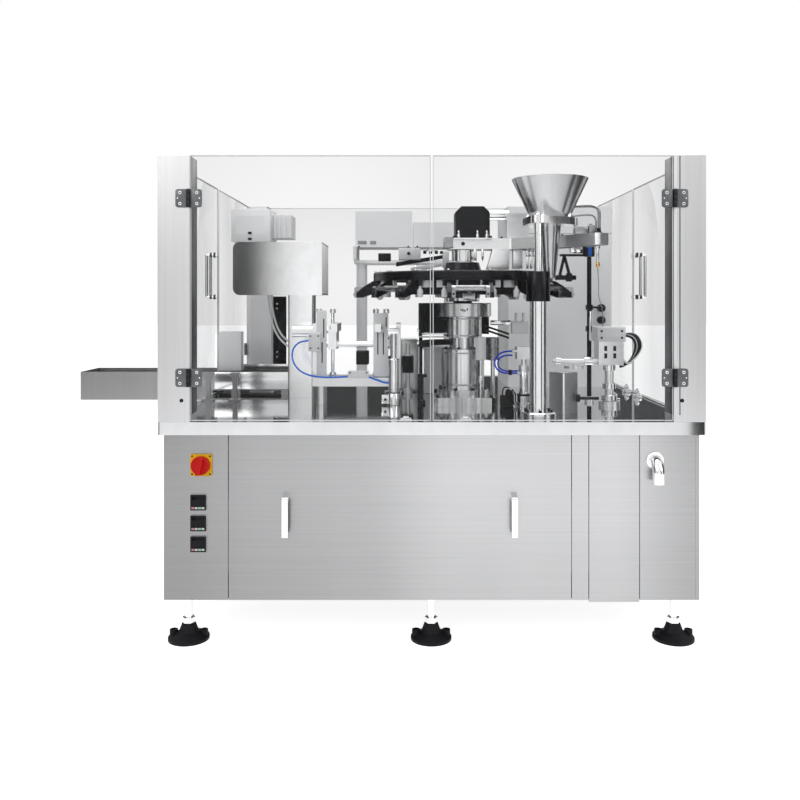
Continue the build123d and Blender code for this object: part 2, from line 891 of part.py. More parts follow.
def hinge_piece(pin, along, inward, low, high, on_door, knuckle):
    """One band of a leaf: its plate, and its knuckle where it has one."""
    with BuildSketch(hinge_plane(pin, along, low)) as band:
        u0 = 0 if knuckle else hinge_knuckle_radius + knuckle_relief
        u_mid = (u0 + hinge_leaf_reach) / 2 * (1 if on_door else -1)
        w_mid = inward * (hinge_pin_proud - hinge_leaf_sheet / 2)
        with Locations((u_mid, w_mid)):
            Rectangle(hinge_leaf_reach - u0, hinge_leaf_sheet)
        if knuckle:
            Circle(hinge_knuckle_radius)
            bore = hinge_pin_radius + running_fit if on_door else 0
            if bore:
                Circle(bore, mode=Mode.SUBTRACT)
    extrude(band.sketch, amount=high - low)


def door_leaf(pin, along, inward):
    """The leaves of one door, each with a middle knuckle that turns on the pin."""
    for z in hinge_rows:
        foot = z - hinge_height / 2
        inner = (foot + knuckle_height + knuckle_gap, foot + 2 * knuckle_height - knuckle_gap)
        hinge_piece(pin, along, inward, foot, inner[0], True, False)
        hinge_piece(pin, along, inward, *inner, True, True)
        hinge_piece(pin, along, inward, inner[1], foot + hinge_height, True, False)


def post_leaf(pin, along, inward):
    """The leaves on a post, with end knuckles and a fixed pin between them."""
    for z in hinge_rows:
        foot = z - hinge_height / 2
        low = foot + knuckle_height
        high = low + knuckle_height
        hinge_piece(pin, along, inward, foot, low, False, True)
        hinge_piece(pin, along, inward, low, high, False, False)
        hinge_piece(pin, along, inward, high, foot + hinge_height, False, True)
        bar((*pin, foot), (*pin, foot + hinge_height), hinge_pin_radius)


front_pin_y = -half_depth - hinge_pin_proud
side_pin_x = half_width + hinge_pin_proud
door_inner_x = post_inner_x - door_edge_gap
door_inner_y = post_inner_y - door_edge_gap
pin_from_post = hinge_pin_inset
front_pin_x = post_inner_x + pin_from_post
side_pin_y = post_inner_y + pin_from_post

# Each entry is the pin, the way from the pin along the door, and the side of
# the pin on which the door's outer face lies.
front_hinges = {
    "left": ((-front_pin_x, front_pin_y), (1, 0), 1),
    "right": ((front_pin_x, front_pin_y), (-1, 0), -1),
}
side_hinges = {
    "left_front": ((-side_pin_x, -side_pin_y), (0, 1), -1),
    "left_rear": ((-side_pin_x, side_pin_y), (0, -1), 1),
    "right_front": ((side_pin_x, -side_pin_y), (0, 1), 1),
    "right_rear": ((side_pin_x, side_pin_y), (0, -1), -1),
}

with BuildPart() as post_hinges:
    for hinge in (*front_hinges.values(), *side_hinges.values()):
        post_leaf(*hinge)
post_hinges.part.label = "post_hinges"
export_step(post_hinges.part, "parts/post_hinges.step")

door_z = (table_height + door_lift, guard_top)
for side, sign in (("left", -1), ("right", 1)):
    with BuildPart() as front_door:
        slab(
            sorted((sign * door_seam / 2, sign * door_inner_x)),
            (-half_depth, -half_depth + door_sheet),
            door_z,
        )
    front_door.part.label = f"front_door_{side}"
    export_step(front_door.part, f"parts/front_door_{side}.step")
    with BuildPart() as front_leaf:
        door_leaf(*front_hinges[side])
    front_leaf.part.label = f"front_hinge_{side}"
    export_step(front_leaf.part, f"parts/front_hinge_{side}.step")

# The left side doors are cut out over the conveyor.
notch_y = (
    conveyor_front - chute_notch_margin,
    conveyor_front + conveyor_width + chute_notch_margin,
)
for name, (pin, along, inward) in side_hinges.items():
    sign_x = -1 if name.startswith("left") else 1
    sign_y = along[1]
    seam_y = side_seam_y - sign_y * door_seam / 2
    door_x = sorted((sign_x * half_width, sign_x * (half_width - door_sheet)))
    with BuildPart() as side_door:
        slab(door_x, sorted((seam_y, -sign_y * door_inner_y)), door_z)
        if sign_x < 0:
            slab(door_x, notch_y, (door_z[0], chute_notch_top), mode=Mode.SUBTRACT)
    side_door.part.label = f"side_door_{name}"
    export_step(side_door.part, f"parts/side_door_{name}.step")
    handle_y = side_seam_y - sign_y * guard_handle_from_seam
    face_x = sign_x * half_width
    grip_x = face_x + sign_x * guard_handle_reach
    z0 = guard_handle_centre - guard_handle_length / 2
    z1 = guard_handle_centre + guard_handle_length / 2
    with BuildPart() as side_fittings:
        door_leaf(pin, along, inward)
        with BuildLine() as grip:
            FilletPolyline(
                (face_x, handle_y, z0), (grip_x, handle_y, z0),
                (grip_x, handle_y, z1), (face_x, handle_y, z1),
                radius=2 * guard_handle_radius,
            )
        with BuildSketch(Plane(origin=(face_x, handle_y, z0), z_dir=(sign_x, 0, 0))):
            Circle(guard_handle_radius)
        sweep(path=grip.line)
        for z in (z0, z1):
            bar(
                (face_x, handle_y, z),
                (face_x + sign_x * guard_handle_foot, handle_y, z),
                guard_handle_foot_radius,
            )
    side_fittings.part.label = f"side_fittings_{name}"
    export_step(side_fittings.part, f"parts/side_fittings_{name}.step")

# The indexer hangs under the table, and the fixed spindle stands in it.
with BuildPart() as indexer_case:
    half_case = indexer_side / 2
    slab(
        (carousel_x - half_case, carousel_x + half_case),
        (carousel_y - half_case, carousel_y + half_case),
        (indexer_bottom, table_under),
    )
    fillet(indexer_case.edges().filter_by(Axis.Z), radius=indexer_corner)
    bar(
        (carousel_x, carousel_y, shaft_bottom),
        (carousel_x, carousel_y, table_under),
        shaft_radius + running_fit,
        mode=Mode.SUBTRACT,
    )
    bar(
        (carousel_x - half_case, carousel_y, indexer_shaft_z),
        (carousel_x + half_case, carousel_y, indexer_shaft_z),
        drive_shaft_radius + running_fit,
        mode=Mode.SUBTRACT,
    )
indexer_case.part.label = "indexer_case"
export_step(indexer_case.part, "parts/indexer_case.step")

# The gear motor is bolted to the indexer by an open lantern.
lantern_x1 = carousel_x - indexer_side / 2
lantern_x0 = lantern_x1 - lantern_length
motor_x0 = lantern_x0 - motor_length
with BuildPart() as drive_motor:
    axis_y, axis_z = carousel_y, indexer_shaft_z
    bar((motor_x0, axis_y, axis_z), (lantern_x1, axis_y, axis_z), lantern_radius)
    bar(
        (lantern_x0, axis_y, axis_z),
        (lantern_x1, axis_y, axis_z),
        lantern_radius - lantern_wall,
        mode=Mode.SUBTRACT,
    )
    for turn in (0, 90):
        with BuildSketch(Plane.YZ.offset(lantern_x0 + lantern_rim)) as window:
            with Locations(Location((axis_y, axis_z), turn)):
                Rectangle(3 * lantern_radius, lantern_radius)
        extrude(window.sketch, amount=lantern_length - 2 * lantern_rim, mode=Mode.SUBTRACT)
    with BuildSketch(Plane.YZ.offset(motor_x0 + motor_cowl_length)) as fins:
        with Locations((axis_y, axis_z)):
            with PolarLocations(lantern_radius, motor_fins):
                Rectangle(2 * motor_fin_height, motor_fin_width)
    extrude(fins.sketch, amount=motor_length - motor_cowl_length - motor_flange)
    bar(
        (motor_x0, axis_y, axis_z),
        (motor_x0 + motor_cowl_length, axis_y, axis_z),
        motor_cowl_radius,
    )
    slab(
        (motor_x0 + motor_box_x[0], motor_x0 + motor_box_x[1]),
        (axis_y - motor_box_half, axis_y + motor_box_half),
        (axis_z + motor_box_half, axis_z + lantern_radius + motor_box_rise),
    )
    bar(
        (lantern_x0 - shaft_end_depth - shaft_end_room, axis_y, axis_z),
        (lantern_x0, axis_y, axis_z),
        drive_shaft_radius + running_fit,
        mode=Mode.SUBTRACT,
    )
drive_motor.part.label = "drive_motor"
export_step(drive_motor.part, "parts/drive_motor.step")

# One shaft runs from the motor through the indexer and carries the cams.
with BuildPart() as cam_shaft:
    bar(
        (lantern_x0 - shaft_end_depth, carousel_y, indexer_shaft_z),
        (bearing_plate_x + bearing_plate_sheet / 2 + shaft_tail, carousel_y, indexer_shaft_z),
        drive_shaft_radius,
    )
    bar(
        (lantern_x0 + coupling_inset, carousel_y, indexer_shaft_z),
        (lantern_x1 - coupling_inset, carousel_y, indexer_shaft_z),
        coupling_radius,
    )
    for number, x in enumerate(cam_plate_places):
        lobe = radians(number * 360 / len(cam_plate_places))
        with BuildSketch(Plane.YZ.offset(x)) as cam_outline:
            with Locations((carousel_y, indexer_shaft_z)):
                Circle(cam_plate_radius - cam_plate_throw)
            with Locations(
                (
                    carousel_y + cam_plate_throw * cos(lobe),
                    indexer_shaft_z + cam_plate_throw * sin(lobe),
                )
            ):
                Circle(cam_plate_radius - cam_plate_throw)
            make_hull()
        extrude(cam_outline.sketch, amount=cam_plate_width)
cam_shaft.part.label = "cam_shaft"
export_step(cam_shaft.part, "parts/cam_shaft.step")

# The fixed column, its cam ring and the spindle inside the hollow shaft.
with BuildPart() as carousel_column:
    half_base = column_base_side / 2
    slab(
        (carousel_x - half_base, carousel_x + half_base),
        (carousel_y - half_base, carousel_y + half_base),
        (table_height, column_base_top),
    )
    chamfer(carousel_column.edges().filter_by(Axis.Z), length=column_base_chamfer)
    turned(
        (carousel_x, carousel_y),
        [
            (0, table_height), (column_flange_radius, table_height),
            (column_flange_radius, column_flange_top), (column_radius, column_flange_top),
            (column_radius, column_top), (column_neck_radius, column_top),
            (column_neck_radius, column_neck_top), (sleeve_radius, column_neck_top),
            (sleeve_radius, sleeve_top), (cam_ring_radius, cam_ring_bottom),
            (cam_ring_radius, cam_ring_bottom + cam_groove_width),
            (cam_ring_radius - cam_groove_depth, cam_ring_bottom + cam_groove_width),
            (cam_ring_radius - cam_groove_depth, cam_ring_top - cam_groove_width / 2),
            (cam_ring_radius, cam_ring_top - cam_groove_width / 2),
            (cam_ring_radius, cam_ring_top), (0, cam_ring_top),
        ],
    )
    bush_radius = shaft_radius + running_fit
    turned(
        (carousel_x, carousel_y),
        [
            (0, table_height), (bush_radius, table_height),
            (bush_radius, table_height + bush_length),
            (column_relief_radius, table_height + bush_length),
            (column_relief_radius, cam_ring_top - bush_length),
            (bush_radius, cam_ring_top - bush_length),
            (bush_radius, cam_ring_top), (0, cam_ring_top),
        ],
        mode=Mode.SUBTRACT,
    )
    bar(
        (carousel_x, carousel_y, shaft_bottom),
        (carousel_x, carousel_y, arm_bottom),
        spindle_radius,
    )
carousel_column.part.label = "carousel_column"
export_step(carousel_column.part, "parts/carousel_column.step")

# The carousel turns on a hollow shaft. Sixteen fixed arms hang from its rim
# in eight pairs, and each pair holds the pivot pin of one clip rocker.
station_angles = [fill_angle + k * 360 / stations for k in range(stations)]
anvil_face = pouch_radius - clip_film_gap / 2
with BuildPart() as carousel_disc:
    turned(
        (carousel_x, carousel_y),
        [
            (shaft_bore_radius, shaft_bottom + seat_gap), (shaft_radius, shaft_bottom + seat_gap),
            (shaft_radius, hub_bottom), (hub_radius, hub_bottom),
            (hub_radius + disc_hub_flare, disc_web_bottom), (disc_radius - disc_rim, disc_web_bottom),
            (disc_radius - disc_rim, disc_bottom), (disc_radius, disc_bottom),
            (disc_radius, disc_top - disc_rim_chamfer), (disc_radius - disc_rim_chamfer, disc_top),
            (disc_radius - disc_rim, disc_top), (disc_radius - disc_rim, disc_web_top),
            (hub_radius + disc_hub_flare, disc_web_top), (hub_radius, hub_top),
            (shaft_bore_radius, hub_top),
        ],
    )
    with BuildSketch(Plane.XY.offset(disc_web_bottom)) as lightening:
        with Locations((carousel_x, carousel_y)):
            with PolarLocations(disc_hole_circle, stations):
                Circle(disc_hole_radius)
    extrude(lightening.sketch, amount=disc_web_top - disc_web_bottom, mode=Mode.SUBTRACT)
    for angle in station_angles:
        for side in (-1, 1):
            mid = side * (clip_arm_side + clip_arm_width / 2)
            section = Plane(
                origin=(*station_point(angle, 0, mid - clip_arm_width / 2), 0),
                x_dir=(cos(radians(angle)), sin(radians(angle)), 0),
                z_dir=(sin(radians(angle)), -cos(radians(angle)), 0),
            )
            with BuildSketch(section) as arm:
                with BuildLine():
                    Polyline(
                        (clip_arm_root, disc_bottom), (disc_radius, disc_bottom),
                        (clip_pivot_reach + clip_arm_cover, clip_pivot_height + clip_arm_cover),
                        (anvil_face, clip_anvil_top - clip_anvil_chamfer),
                        (anvil_face, clip_pad_bottom), (anvil_face - 2 * clip_pad, clip_pad_bottom),
                        (clip_pivot_reach - clip_arm_under, clip_pivot_height - clip_arm_under),
                        (clip_arm_root, disc_bottom - clip_arm_depth),
                        close=True,
                    )
                make_face()
            extrude(arm.sketch, amount=-clip_arm_width)
            anvil = Plane(
                origin=(*station_point(angle, 0, side * (clip_arm_side - clip_pin_seat)), 0),
                x_dir=(cos(radians(angle)), sin(radians(angle)), 0),
                z_dir=(sin(radians(angle)), -cos(radians(angle)), 0),
            )
            with BuildSketch(anvil) as foot:
                anvil_high = clip_anvil_top - clip_anvil_chamfer
                with Locations((anvil_face - clip_pad / 2, (clip_pad_bottom + anvil_high) / 2)):
                    Rectangle(clip_pad, anvil_high - clip_pad_bottom)
            extrude(foot.sketch, amount=clip_anvil_half, both=True)
        pin_end = clip_arm_side + clip_pin_seat
        bar(
            (*station_point(angle, clip_pivot_reach, -pin_end), clip_pivot_height),
            (*station_point(angle, clip_pivot_reach, pin_end), clip_pivot_height),
            clip_pin_radius,
        )
carousel_disc.part.label = "carousel_disc"
export_step(carousel_disc.part, "parts/carousel_disc.step")

# A clip rocker is a tube on the pin, with a lever and pad at each end and a
# cam roller in the middle.
pad_face = pouch_radius + clip_film_gap / 2
lever_side = clip_arm_side - seat_gap - clip_lever_width / 2
for number, angle in enumerate(station_angles):
    with BuildPart() as clip_rocker:
        tube_end = clip_arm_side - seat_gap
        bar(
            (*station_point(angle, clip_pivot_reach, -tube_end), clip_pivot_height),
            (*station_point(angle, clip_pivot_reach, tube_end), clip_pivot_height),
            clip_tube_radius,
        )
        for side in (-1, 1):
            section = Plane(
                origin=(*station_point(angle, 0, side * lever_side - clip_lever_width / 2), 0),
                x_dir=(cos(radians(angle)), sin(radians(angle)), 0),
                z_dir=(sin(radians(angle)), -cos(radians(angle)), 0),
            )
            with BuildSketch(section) as lever:
                with BuildLine():
                    Polyline(
                        (clip_pivot_reach, clip_lever_bottom), (pad_face, clip_lever_bottom),
                        (pad_face, clip_pad_bottom), (pad_face + clip_pad, clip_pad_bottom),
                        (pad_face + clip_pad, clip_lever_top - clip_lever_chamfer),
                        (pad_face + clip_pad - clip_lever_chamfer, clip_lever_top),
                        (clip_pivot_reach, clip_lever_top),
                        close=True,
                    )
                make_face()
            extrude(lever.sketch, amount=-clip_lever_width)
        section = Plane(
            origin=(*station_point(angle, 0, -clip_cam_lever / 2), 0),
            x_dir=(cos(radians(angle)), sin(radians(angle)), 0),
            z_dir=(sin(radians(angle)), -cos(radians(angle)), 0),
        )
        with BuildSketch(section) as roller_lever:
            with BuildLine():
                Polyline(
                    (clip_pivot_reach, clip_pivot_height - clip_cam_lever_half),
                    (clip_pivot_reach - clip_cam_lever_half / 2, clip_pivot_height + clip_cam_lever_half),
                    (clip_roller_reach - clip_cam_lever_half, clip_roller_height + clip_cam_lever_half / 2),
                    (clip_roller_reach - clip_cam_lever_half / 2, clip_roller_height - clip_cam_lever_half),
                    close=True,
                )
            make_face()
        extrude(roller_lever.sketch, amount=-clip_cam_lever)
        bar(
            (*station_point(angle, clip_roller_reach, -clip_roller_width / 2), clip_roller_height),
            (*station_point(angle, clip_roller_reach, clip_roller_width / 2), clip_roller_height),
            clip_roller_radius,
        )
        bar(
            (*station_point(angle, clip_pivot_reach, -tube_end), clip_pivot_height),
            (*station_point(angle, clip_pivot_reach, tube_end), clip_pivot_height),
            clip_pin_radius + running_fit,
            mode=Mode.SUBTRACT,
        )
    clip_rocker.part.label = f"clip_rocker_{number + 1}"
    export_step(clip_rocker.part, f"parts/clip_rocker_{number + 1}.step")

# The filling funnel is a spun cone with a tapered spout over one station.
funnel_place = station_point(fill_angle, pouch_radius)
with BuildPart() as funnel:
    turned(
        funnel_place,
        [
            (funnel_rim_radius, funnel_rim_z), (funnel_neck_radius, funnel_neck_z),
            (funnel_spout_radius, funnel_spout_z), (funnel_tip_radius, funnel_tip_z),
            (funnel_tip_radius - funnel_wall, funnel_tip_z),
            (funnel_spout_radius - funnel_wall, funnel_spout_z),
            (funnel_neck_radius - funnel_wall, funnel_neck_z + funnel_wall),
            (funnel_rim_radius - funnel_wall, funnel_rim_z),
        ],
    )
funnel.part.label = "funnel"
export_step(funnel.part, "parts/funnel.step")

# The funnel's shoulder rests in a plate that a lifting rod carries.
clamp_top = clamp_bottom + clamp_thickness
with BuildPart() as funnel_lift:
    bar(
        (filler_post_x, filler_post_y, lift_rod_bottom),
        (filler_post_x, filler_post_y, clamp_top),
        lift_rod_radius,
    )
    with BuildSketch(Plane.XY.offset(clamp_bottom)) as clamp_plate:
        with Locations((filler_post_x, filler_post_y)):
            Circle(clamp_tail)
        with Locations(funnel_place):
            Circle(funnel_neck_radius + clamp_margin)
        make_hull()
    extrude(clamp_plate.sketch, amount=clamp_thickness)
    slope = (funnel_neck_radius - funnel_spout_radius) / (funnel_neck_z - funnel_spout_z)
    shoulder = funnel_spout_radius + seat_gap
    turned(
        funnel_place,
        [
            (0, clamp_bottom), (shoulder, clamp_bottom),
            (shoulder + slope * clamp_thickness, clamp_top), (0, clamp_top),
        ],
        mode=Mode.SUBTRACT,
    )
funnel_lift.part.label = "funnel_lift"
export_step(funnel_lift.part, "parts/funnel_lift.step")

with BuildPart() as filler_post:
    place = (filler_post_x, filler_post_y)
    turned(
        place,
        [
            (0, table_height), (filler_flange_radius, table_height),
            (filler_flange_radius, table_height + filler_flange - filler_flange_chamfer),
            (filler_flange_radius - filler_flange_chamfer, table_height + filler_flange),
            (filler_tube_radius, table_height + filler_flange),
            (filler_tube_radius, filler_sleeve_bottom),
            (filler_sleeve_radius, filler_sleeve_bottom),
            (filler_sleeve_radius, filler_sleeve_top), (0, filler_sleeve_top),
        ],
    )
    bar(
        (*place, lift_rod_bottom - filler_bore_room),
        (*place, filler_sleeve_top),
        lift_rod_radius + running_fit,
        mode=Mode.SUBTRACT,
    )
filler_post.part.label = "filler_post"
export_step(filler_post.part, "parts/filler_post.step")

# The overhead arm is a plate with a pocketed underside on the fixed spindle.
arm_top = arm_bottom + arm_thickness
with BuildPart() as overhead_arm:
    with BuildSketch(Plane.XY.offset(arm_bottom)) as arm_plan:
        with BuildLine():
            Polyline(*arm_outline, close=True)
        make_face()
        fillet(arm_plan.vertices(), radius=arm_corner)
    extrude(arm_plan.sketch, amount=arm_thickness)
    with BuildSketch(Plane.XY.offset(arm_bottom)) as pocket:
        add(arm_plan.sketch.faces()[0].moved(Location((0, 0, -arm_bottom))))
        offset(amount=-arm_wall, kind=Kind.INTERSECTION)
        with Locations((carousel_x, carousel_y)):
            Circle(spindle_radius + arm_wall, mode=Mode.SUBTRACT)
    extrude(pocket.sketch, amount=arm_thickness - arm_wall, mode=Mode.SUBTRACT)
    slab(arm_box_x, arm_box_y, (arm_top, arm_top + arm_box_height))
overhead_arm.part.label = "overhead_arm"
export_step(overhead_arm.part, "parts/overhead_arm.step")

with BuildPart() as arm_drive:
    slab(
        (cover_x[0] - cover_foot_reach, cover_x[1] + cover_foot_reach),
        (cover_y[0], cover_y[1]),
        (arm_top, arm_top + cover_foot),
    )
    with BuildSketch(Plane.XZ.offset(-cover_y[1])) as cover_face:
        with BuildLine():
            top = arm_top + cover_height
            Polyline(
                (cover_x[0], arm_top), (cover_x[0], top - cover_chamfer),
                (cover_x[0] + cover_chamfer, top), (cover_x[1] - cover_chamfer, top),
                (cover_x[1], top - cover_chamfer), (cover_x[1], arm_top),
                close=True,
            )
        make_face()
    extrude(cover_face.sketch, amount=cover_y[1] - cover_y[0])
    motor_axis = ((cover_y[0] + cover_y[1]) / 2, arm_top + cover_height - arm_motor_drop)
    bar(
        (cover_x[1], *motor_axis),
        (cover_x[1] + arm_motor_length, *motor_axis),
        arm_motor_radius,
    )
arm_drive.part.label = "arm_drive"
export_step(arm_drive.part, "parts/arm_drive.step")

# The outfeed conveyor lies on legs and reaches out through the side guard.
conveyor_back = conveyor_front + conveyor_width
drive_roller_x = conveyor_inner_end - roller_radius - belt_thickness - roller_end_gap
nose_x = conveyor_outer_end + roller_radius + belt_thickness + nose_end_gap
belt_y = (
    conveyor_front + conveyor_plate + belt_side_gap,
    conveyor_back - conveyor_plate - belt_side_gap,
)
with BuildPart() as conveyor_frame:
    with BuildSketch(Plane.XZ.offset(-conveyor_front)) as side_plate:
        with BuildLine():
            Polyline(
                (conveyor_outer_end, conveyor_bottom), (conveyor_wall_x, conveyor_bottom),
                (conveyor_wall_x, conveyor_rail_bottom), (conveyor_inner_end, conveyor_rail_bottom),
                (conveyor_inner_end, conveyor_top), (conveyor_outer_end, conveyor_top),
                close=True,
            )
        make_face()
    extrude(side_plate.sketch, amount=-conveyor_plate)
    extrude(side_plate.sketch.moved(Location((0, conveyor_width, 0))), amount=conveyor_plate)
    slab(
        (conveyor_outer_end, conveyor_outer_end + conveyor_plate),
        (conveyor_front, conveyor_back),
        (conveyor_bottom, conveyor_top),
    )
    slab(
        (conveyor_outer_end, conveyor_wall_x),
        (conveyor_front, conveyor_back),
        (conveyor_bottom, conveyor_bottom + conveyor_plate),
    )
    bed = roller_radius - seat_gap
    slab(
        (nose_x, drive_roller_x - roller_radius - bed_end_gap),
        (conveyor_front, conveyor_back),
        (belt_axis_z + bed - conveyor_bed, belt_axis_z + bed),
    )
    bar(
        (nose_x, belt_y[0], belt_axis_z),
        (nose_x, belt_y[1], belt_axis_z),
        roller_radius - seat_gap,
    )
    bar(
        (nose_x, conveyor_front, belt_axis_z),
        (nose_x, conveyor_back, belt_axis_z),
        nose_stub_radius,
    )
    for x in conveyor_legs:
        for face in (conveyor_front - conveyor_leg_sheet, conveyor_back):
            slab(
                (x - conveyor_leg_width / 2, x + conveyor_leg_width / 2),
                (face, face + conveyor_leg_sheet),
                (table_height, conveyor_top - conveyor_leg_drop),
            )
    for x, y in bracket_places:
        for low, (wide, deep, tall) in (
            (table_height, bracket_foot),
            (table_height, bracket_post),
            (table_height + bracket_post[2], bracket_head),
        ):
            slab((x - wide / 2, x + wide / 2), (y - deep / 2, y + deep / 2), (low, low + tall))
    bar(
        (drive_roller_x, conveyor_front, belt_axis_z),
        (drive_roller_x, conveyor_back, belt_axis_z),
        roller_shaft_radius + running_fit,
        mode=Mode.SUBTRACT,
    )
conveyor_frame.part.label = "conveyor_frame"
export_step(conveyor_frame.part, "parts/conveyor_frame.step")

with BuildPart() as conveyor_roller:
    bar(
        (drive_roller_x, belt_y[0], belt_axis_z),
        (drive_roller_x, belt_y[1], belt_axis_z),
        roller_radius - seat_gap,
    )
    bar(
        (drive_roller_x, conveyor_front, belt_axis_z),
        (drive_roller_x, conveyor_back, belt_axis_z),
        roller_shaft_radius,
    )
conveyor_roller.part.label = "conveyor_roller"
export_step(conveyor_roller.part, "parts/conveyor_roller.step")

belt_run = drive_roller_x - nose_x
with BuildPart() as conveyor_belt:
    with BuildSketch(Plane.XZ.offset(-belt_y[1])) as belt_loop:
        with Locations(((nose_x + drive_roller_x) / 2, belt_axis_z)):
            SlotCenterToCenter(belt_run, 2 * (roller_radius + belt_thickness))
            SlotCenterToCenter(belt_run, 2 * roller_radius, mode=Mode.SUBTRACT)
    extrude(belt_loop.sketch, amount=belt_y[1] - belt_y[0])
conveyor_belt.part.label = "conveyor_belt"
export_step(conveyor_belt.part, "parts/conveyor_belt.step")

# The date printer's housing stands on a square column in front of the belt.
with BuildPart() as printer_housing:
    slab(housing_x, housing_y, housing_z)
    left_edges = printer_housing.edges().filter_by(Axis.Y).group_by(Axis.X)[0]
    fillet(left_edges, radius=housing_corner)
    hollow_x = (housing_x[0] + housing_sheet, housing_x[1] - housing_sheet)
    slab(
        (hollow_x[0] + housing_hollow_inset, hollow_x[1]),
        inset(housing_y, housing_sheet),
        inset(housing_z, housing_hollow_inset),
        mode=Mode.SUBTRACT,
    )
    with BuildSketch(Plane.XY.offset(table_height)) as column_plan:
        with Locations(
            (
                (housing_column_x[0] + housing_column_x[1]) / 2,
                (housing_column_y[0] + housing_column_y[1]) / 2,
            )
        ):
            RectangleRounded(
                housing_column_x[1] - housing_column_x[0],
                housing_column_y[1] - housing_column_y[0],
                housing_column_corner,
            )
    extrude(column_plan.sketch, amount=housing_z[0] - table_height)
    slab(
        inset(housing_column_x, housing_column_wall),
        inset(housing_column_y, housing_column_wall),
        (table_height, housing_z[0]),
        mode=Mode.SUBTRACT,
    )
printer_housing.part.label = "printer_housing"
export_step(printer_housing.part, "parts/printer_housing.step")

# The sealing station: a base on four legs, two end plates and two guide rods.
seal_x = carousel_x - pouch_radius
seal_middle_y = carousel_y
guide_z = jaw_z - seal_guide_drop
with BuildPart() as seal_station:
    slab(seal_base_x, seal_base_y, seal_base_z)
    for x in inset(seal_base_x, seal_leg_inset):
        for y in inset(seal_base_y, seal_leg_inset):
            bar((x, y, table_height), (x, y, seal_base_z[0]), seal_leg_radius)
    for x in (seal_base_x[0], seal_base_x[1] - seal_end_sheet):
        slab(
            (x, x + seal_end_sheet),
            (seal_middle_y - seal_end_half, seal_middle_y + seal_end_half),
            (seal_base_z[1], jaw_z + seal_end_rise),
        )
    for side in (-1, 1):
        y = seal_middle_y + side * seal_guide_side
        bar((seal_base_x[0], y, guide_z), (seal_base_x[1], y, guide_z), seal_guide_radius)
    bar(
        (seal_base_x[0] - seal_cylinder_length, seal_middle_y, jaw_z),
        (seal_base_x[0], seal_middle_y, jaw_z),
        seal_cylinder_radius,
    )
    bar(
        (seal_base_x[0] - seal_cylinder_length + seal_cylinder_cap, seal_middle_y, jaw_z),
        (seal_base_x[0] + seal_end_sheet, seal_middle_y, jaw_z),
        seal_rod_radius + running_fit,
        mode=Mode.SUBTRACT,
    )
    port_x = left_hose[-1][0] + fitting_length
    slab(
        (port_x, port_x + seal_port[0]),
        (seal_base_y[0] - seal_port[1], seal_base_y[0]),
        (seal_base_z[0], seal_base_z[0] + seal_port[2]),
    )
    bar(left_hose[-1], Vector(left_hose[-1]) + (fitting_length, 0, 0), fitting_radius)
    bar((seal_base_x[0], *left_hose[0][1:]), left_hose[0], fitting_radius)
    for x, y, rise in seal_post_places:
        top = table_height + rise
        bar((x, y, table_height), (x, y, top), station_post_radius)
        for z in (table_height, table_height + collar_rise, top - collar_drop):
            bar((x, y, z), (x, y, z + collar_height), collar_radius)
seal_station.part.label = "seal_station"
export_step(seal_station.part, "parts/seal_station.step")

for name, away in (("outer", -1), ("inner", 1)):
    face_x = seal_x + away * (jaw_stroke + jaw_meeting_gap / 2)
    with BuildPart() as seal_jaw:
        slab(
            sorted((face_x, face_x + away * jaw_bar_thickness)),
            (seal_middle_y - jaw_face_width / 2, seal_middle_y + jaw_face_width / 2),
            (jaw_z, jaw_z + jaw_face_height),
        )
        slab(
            sorted((face_x + away * jaw_block_inset, face_x + away * jaw_block_depth)),
            (
                seal_middle_y - seal_guide_side - jaw_block_side,
                seal_middle_y + seal_guide_side + jaw_block_side,
            ),
            (jaw_z - jaw_block_height, jaw_z + jaw_face_height - jaw_block_drop),
        )
        for side in (-1, 1):
            y = seal_middle_y + side * seal_guide_side
            bar(
                (seal_base_x[0], y, guide_z),
                (seal_base_x[1], y, guide_z),
                seal_guide_radius + running_fit,
                mode=Mode.SUBTRACT,
            )
        if name == "outer":
            rod_end = seal_base_x[0] - seal_cylinder_length + seal_cylinder_cap + jaw_rod_room
            bar(
                (face_x - jaw_block_depth, seal_middle_y, jaw_z),
                (rod_end, seal_middle_y, jaw_z),
                seal_rod_radius,
            )
    seal_jaw.part.label = f"seal_jaw_{name}"
    export_step(seal_jaw.part, f"parts/seal_jaw_{name}.step")

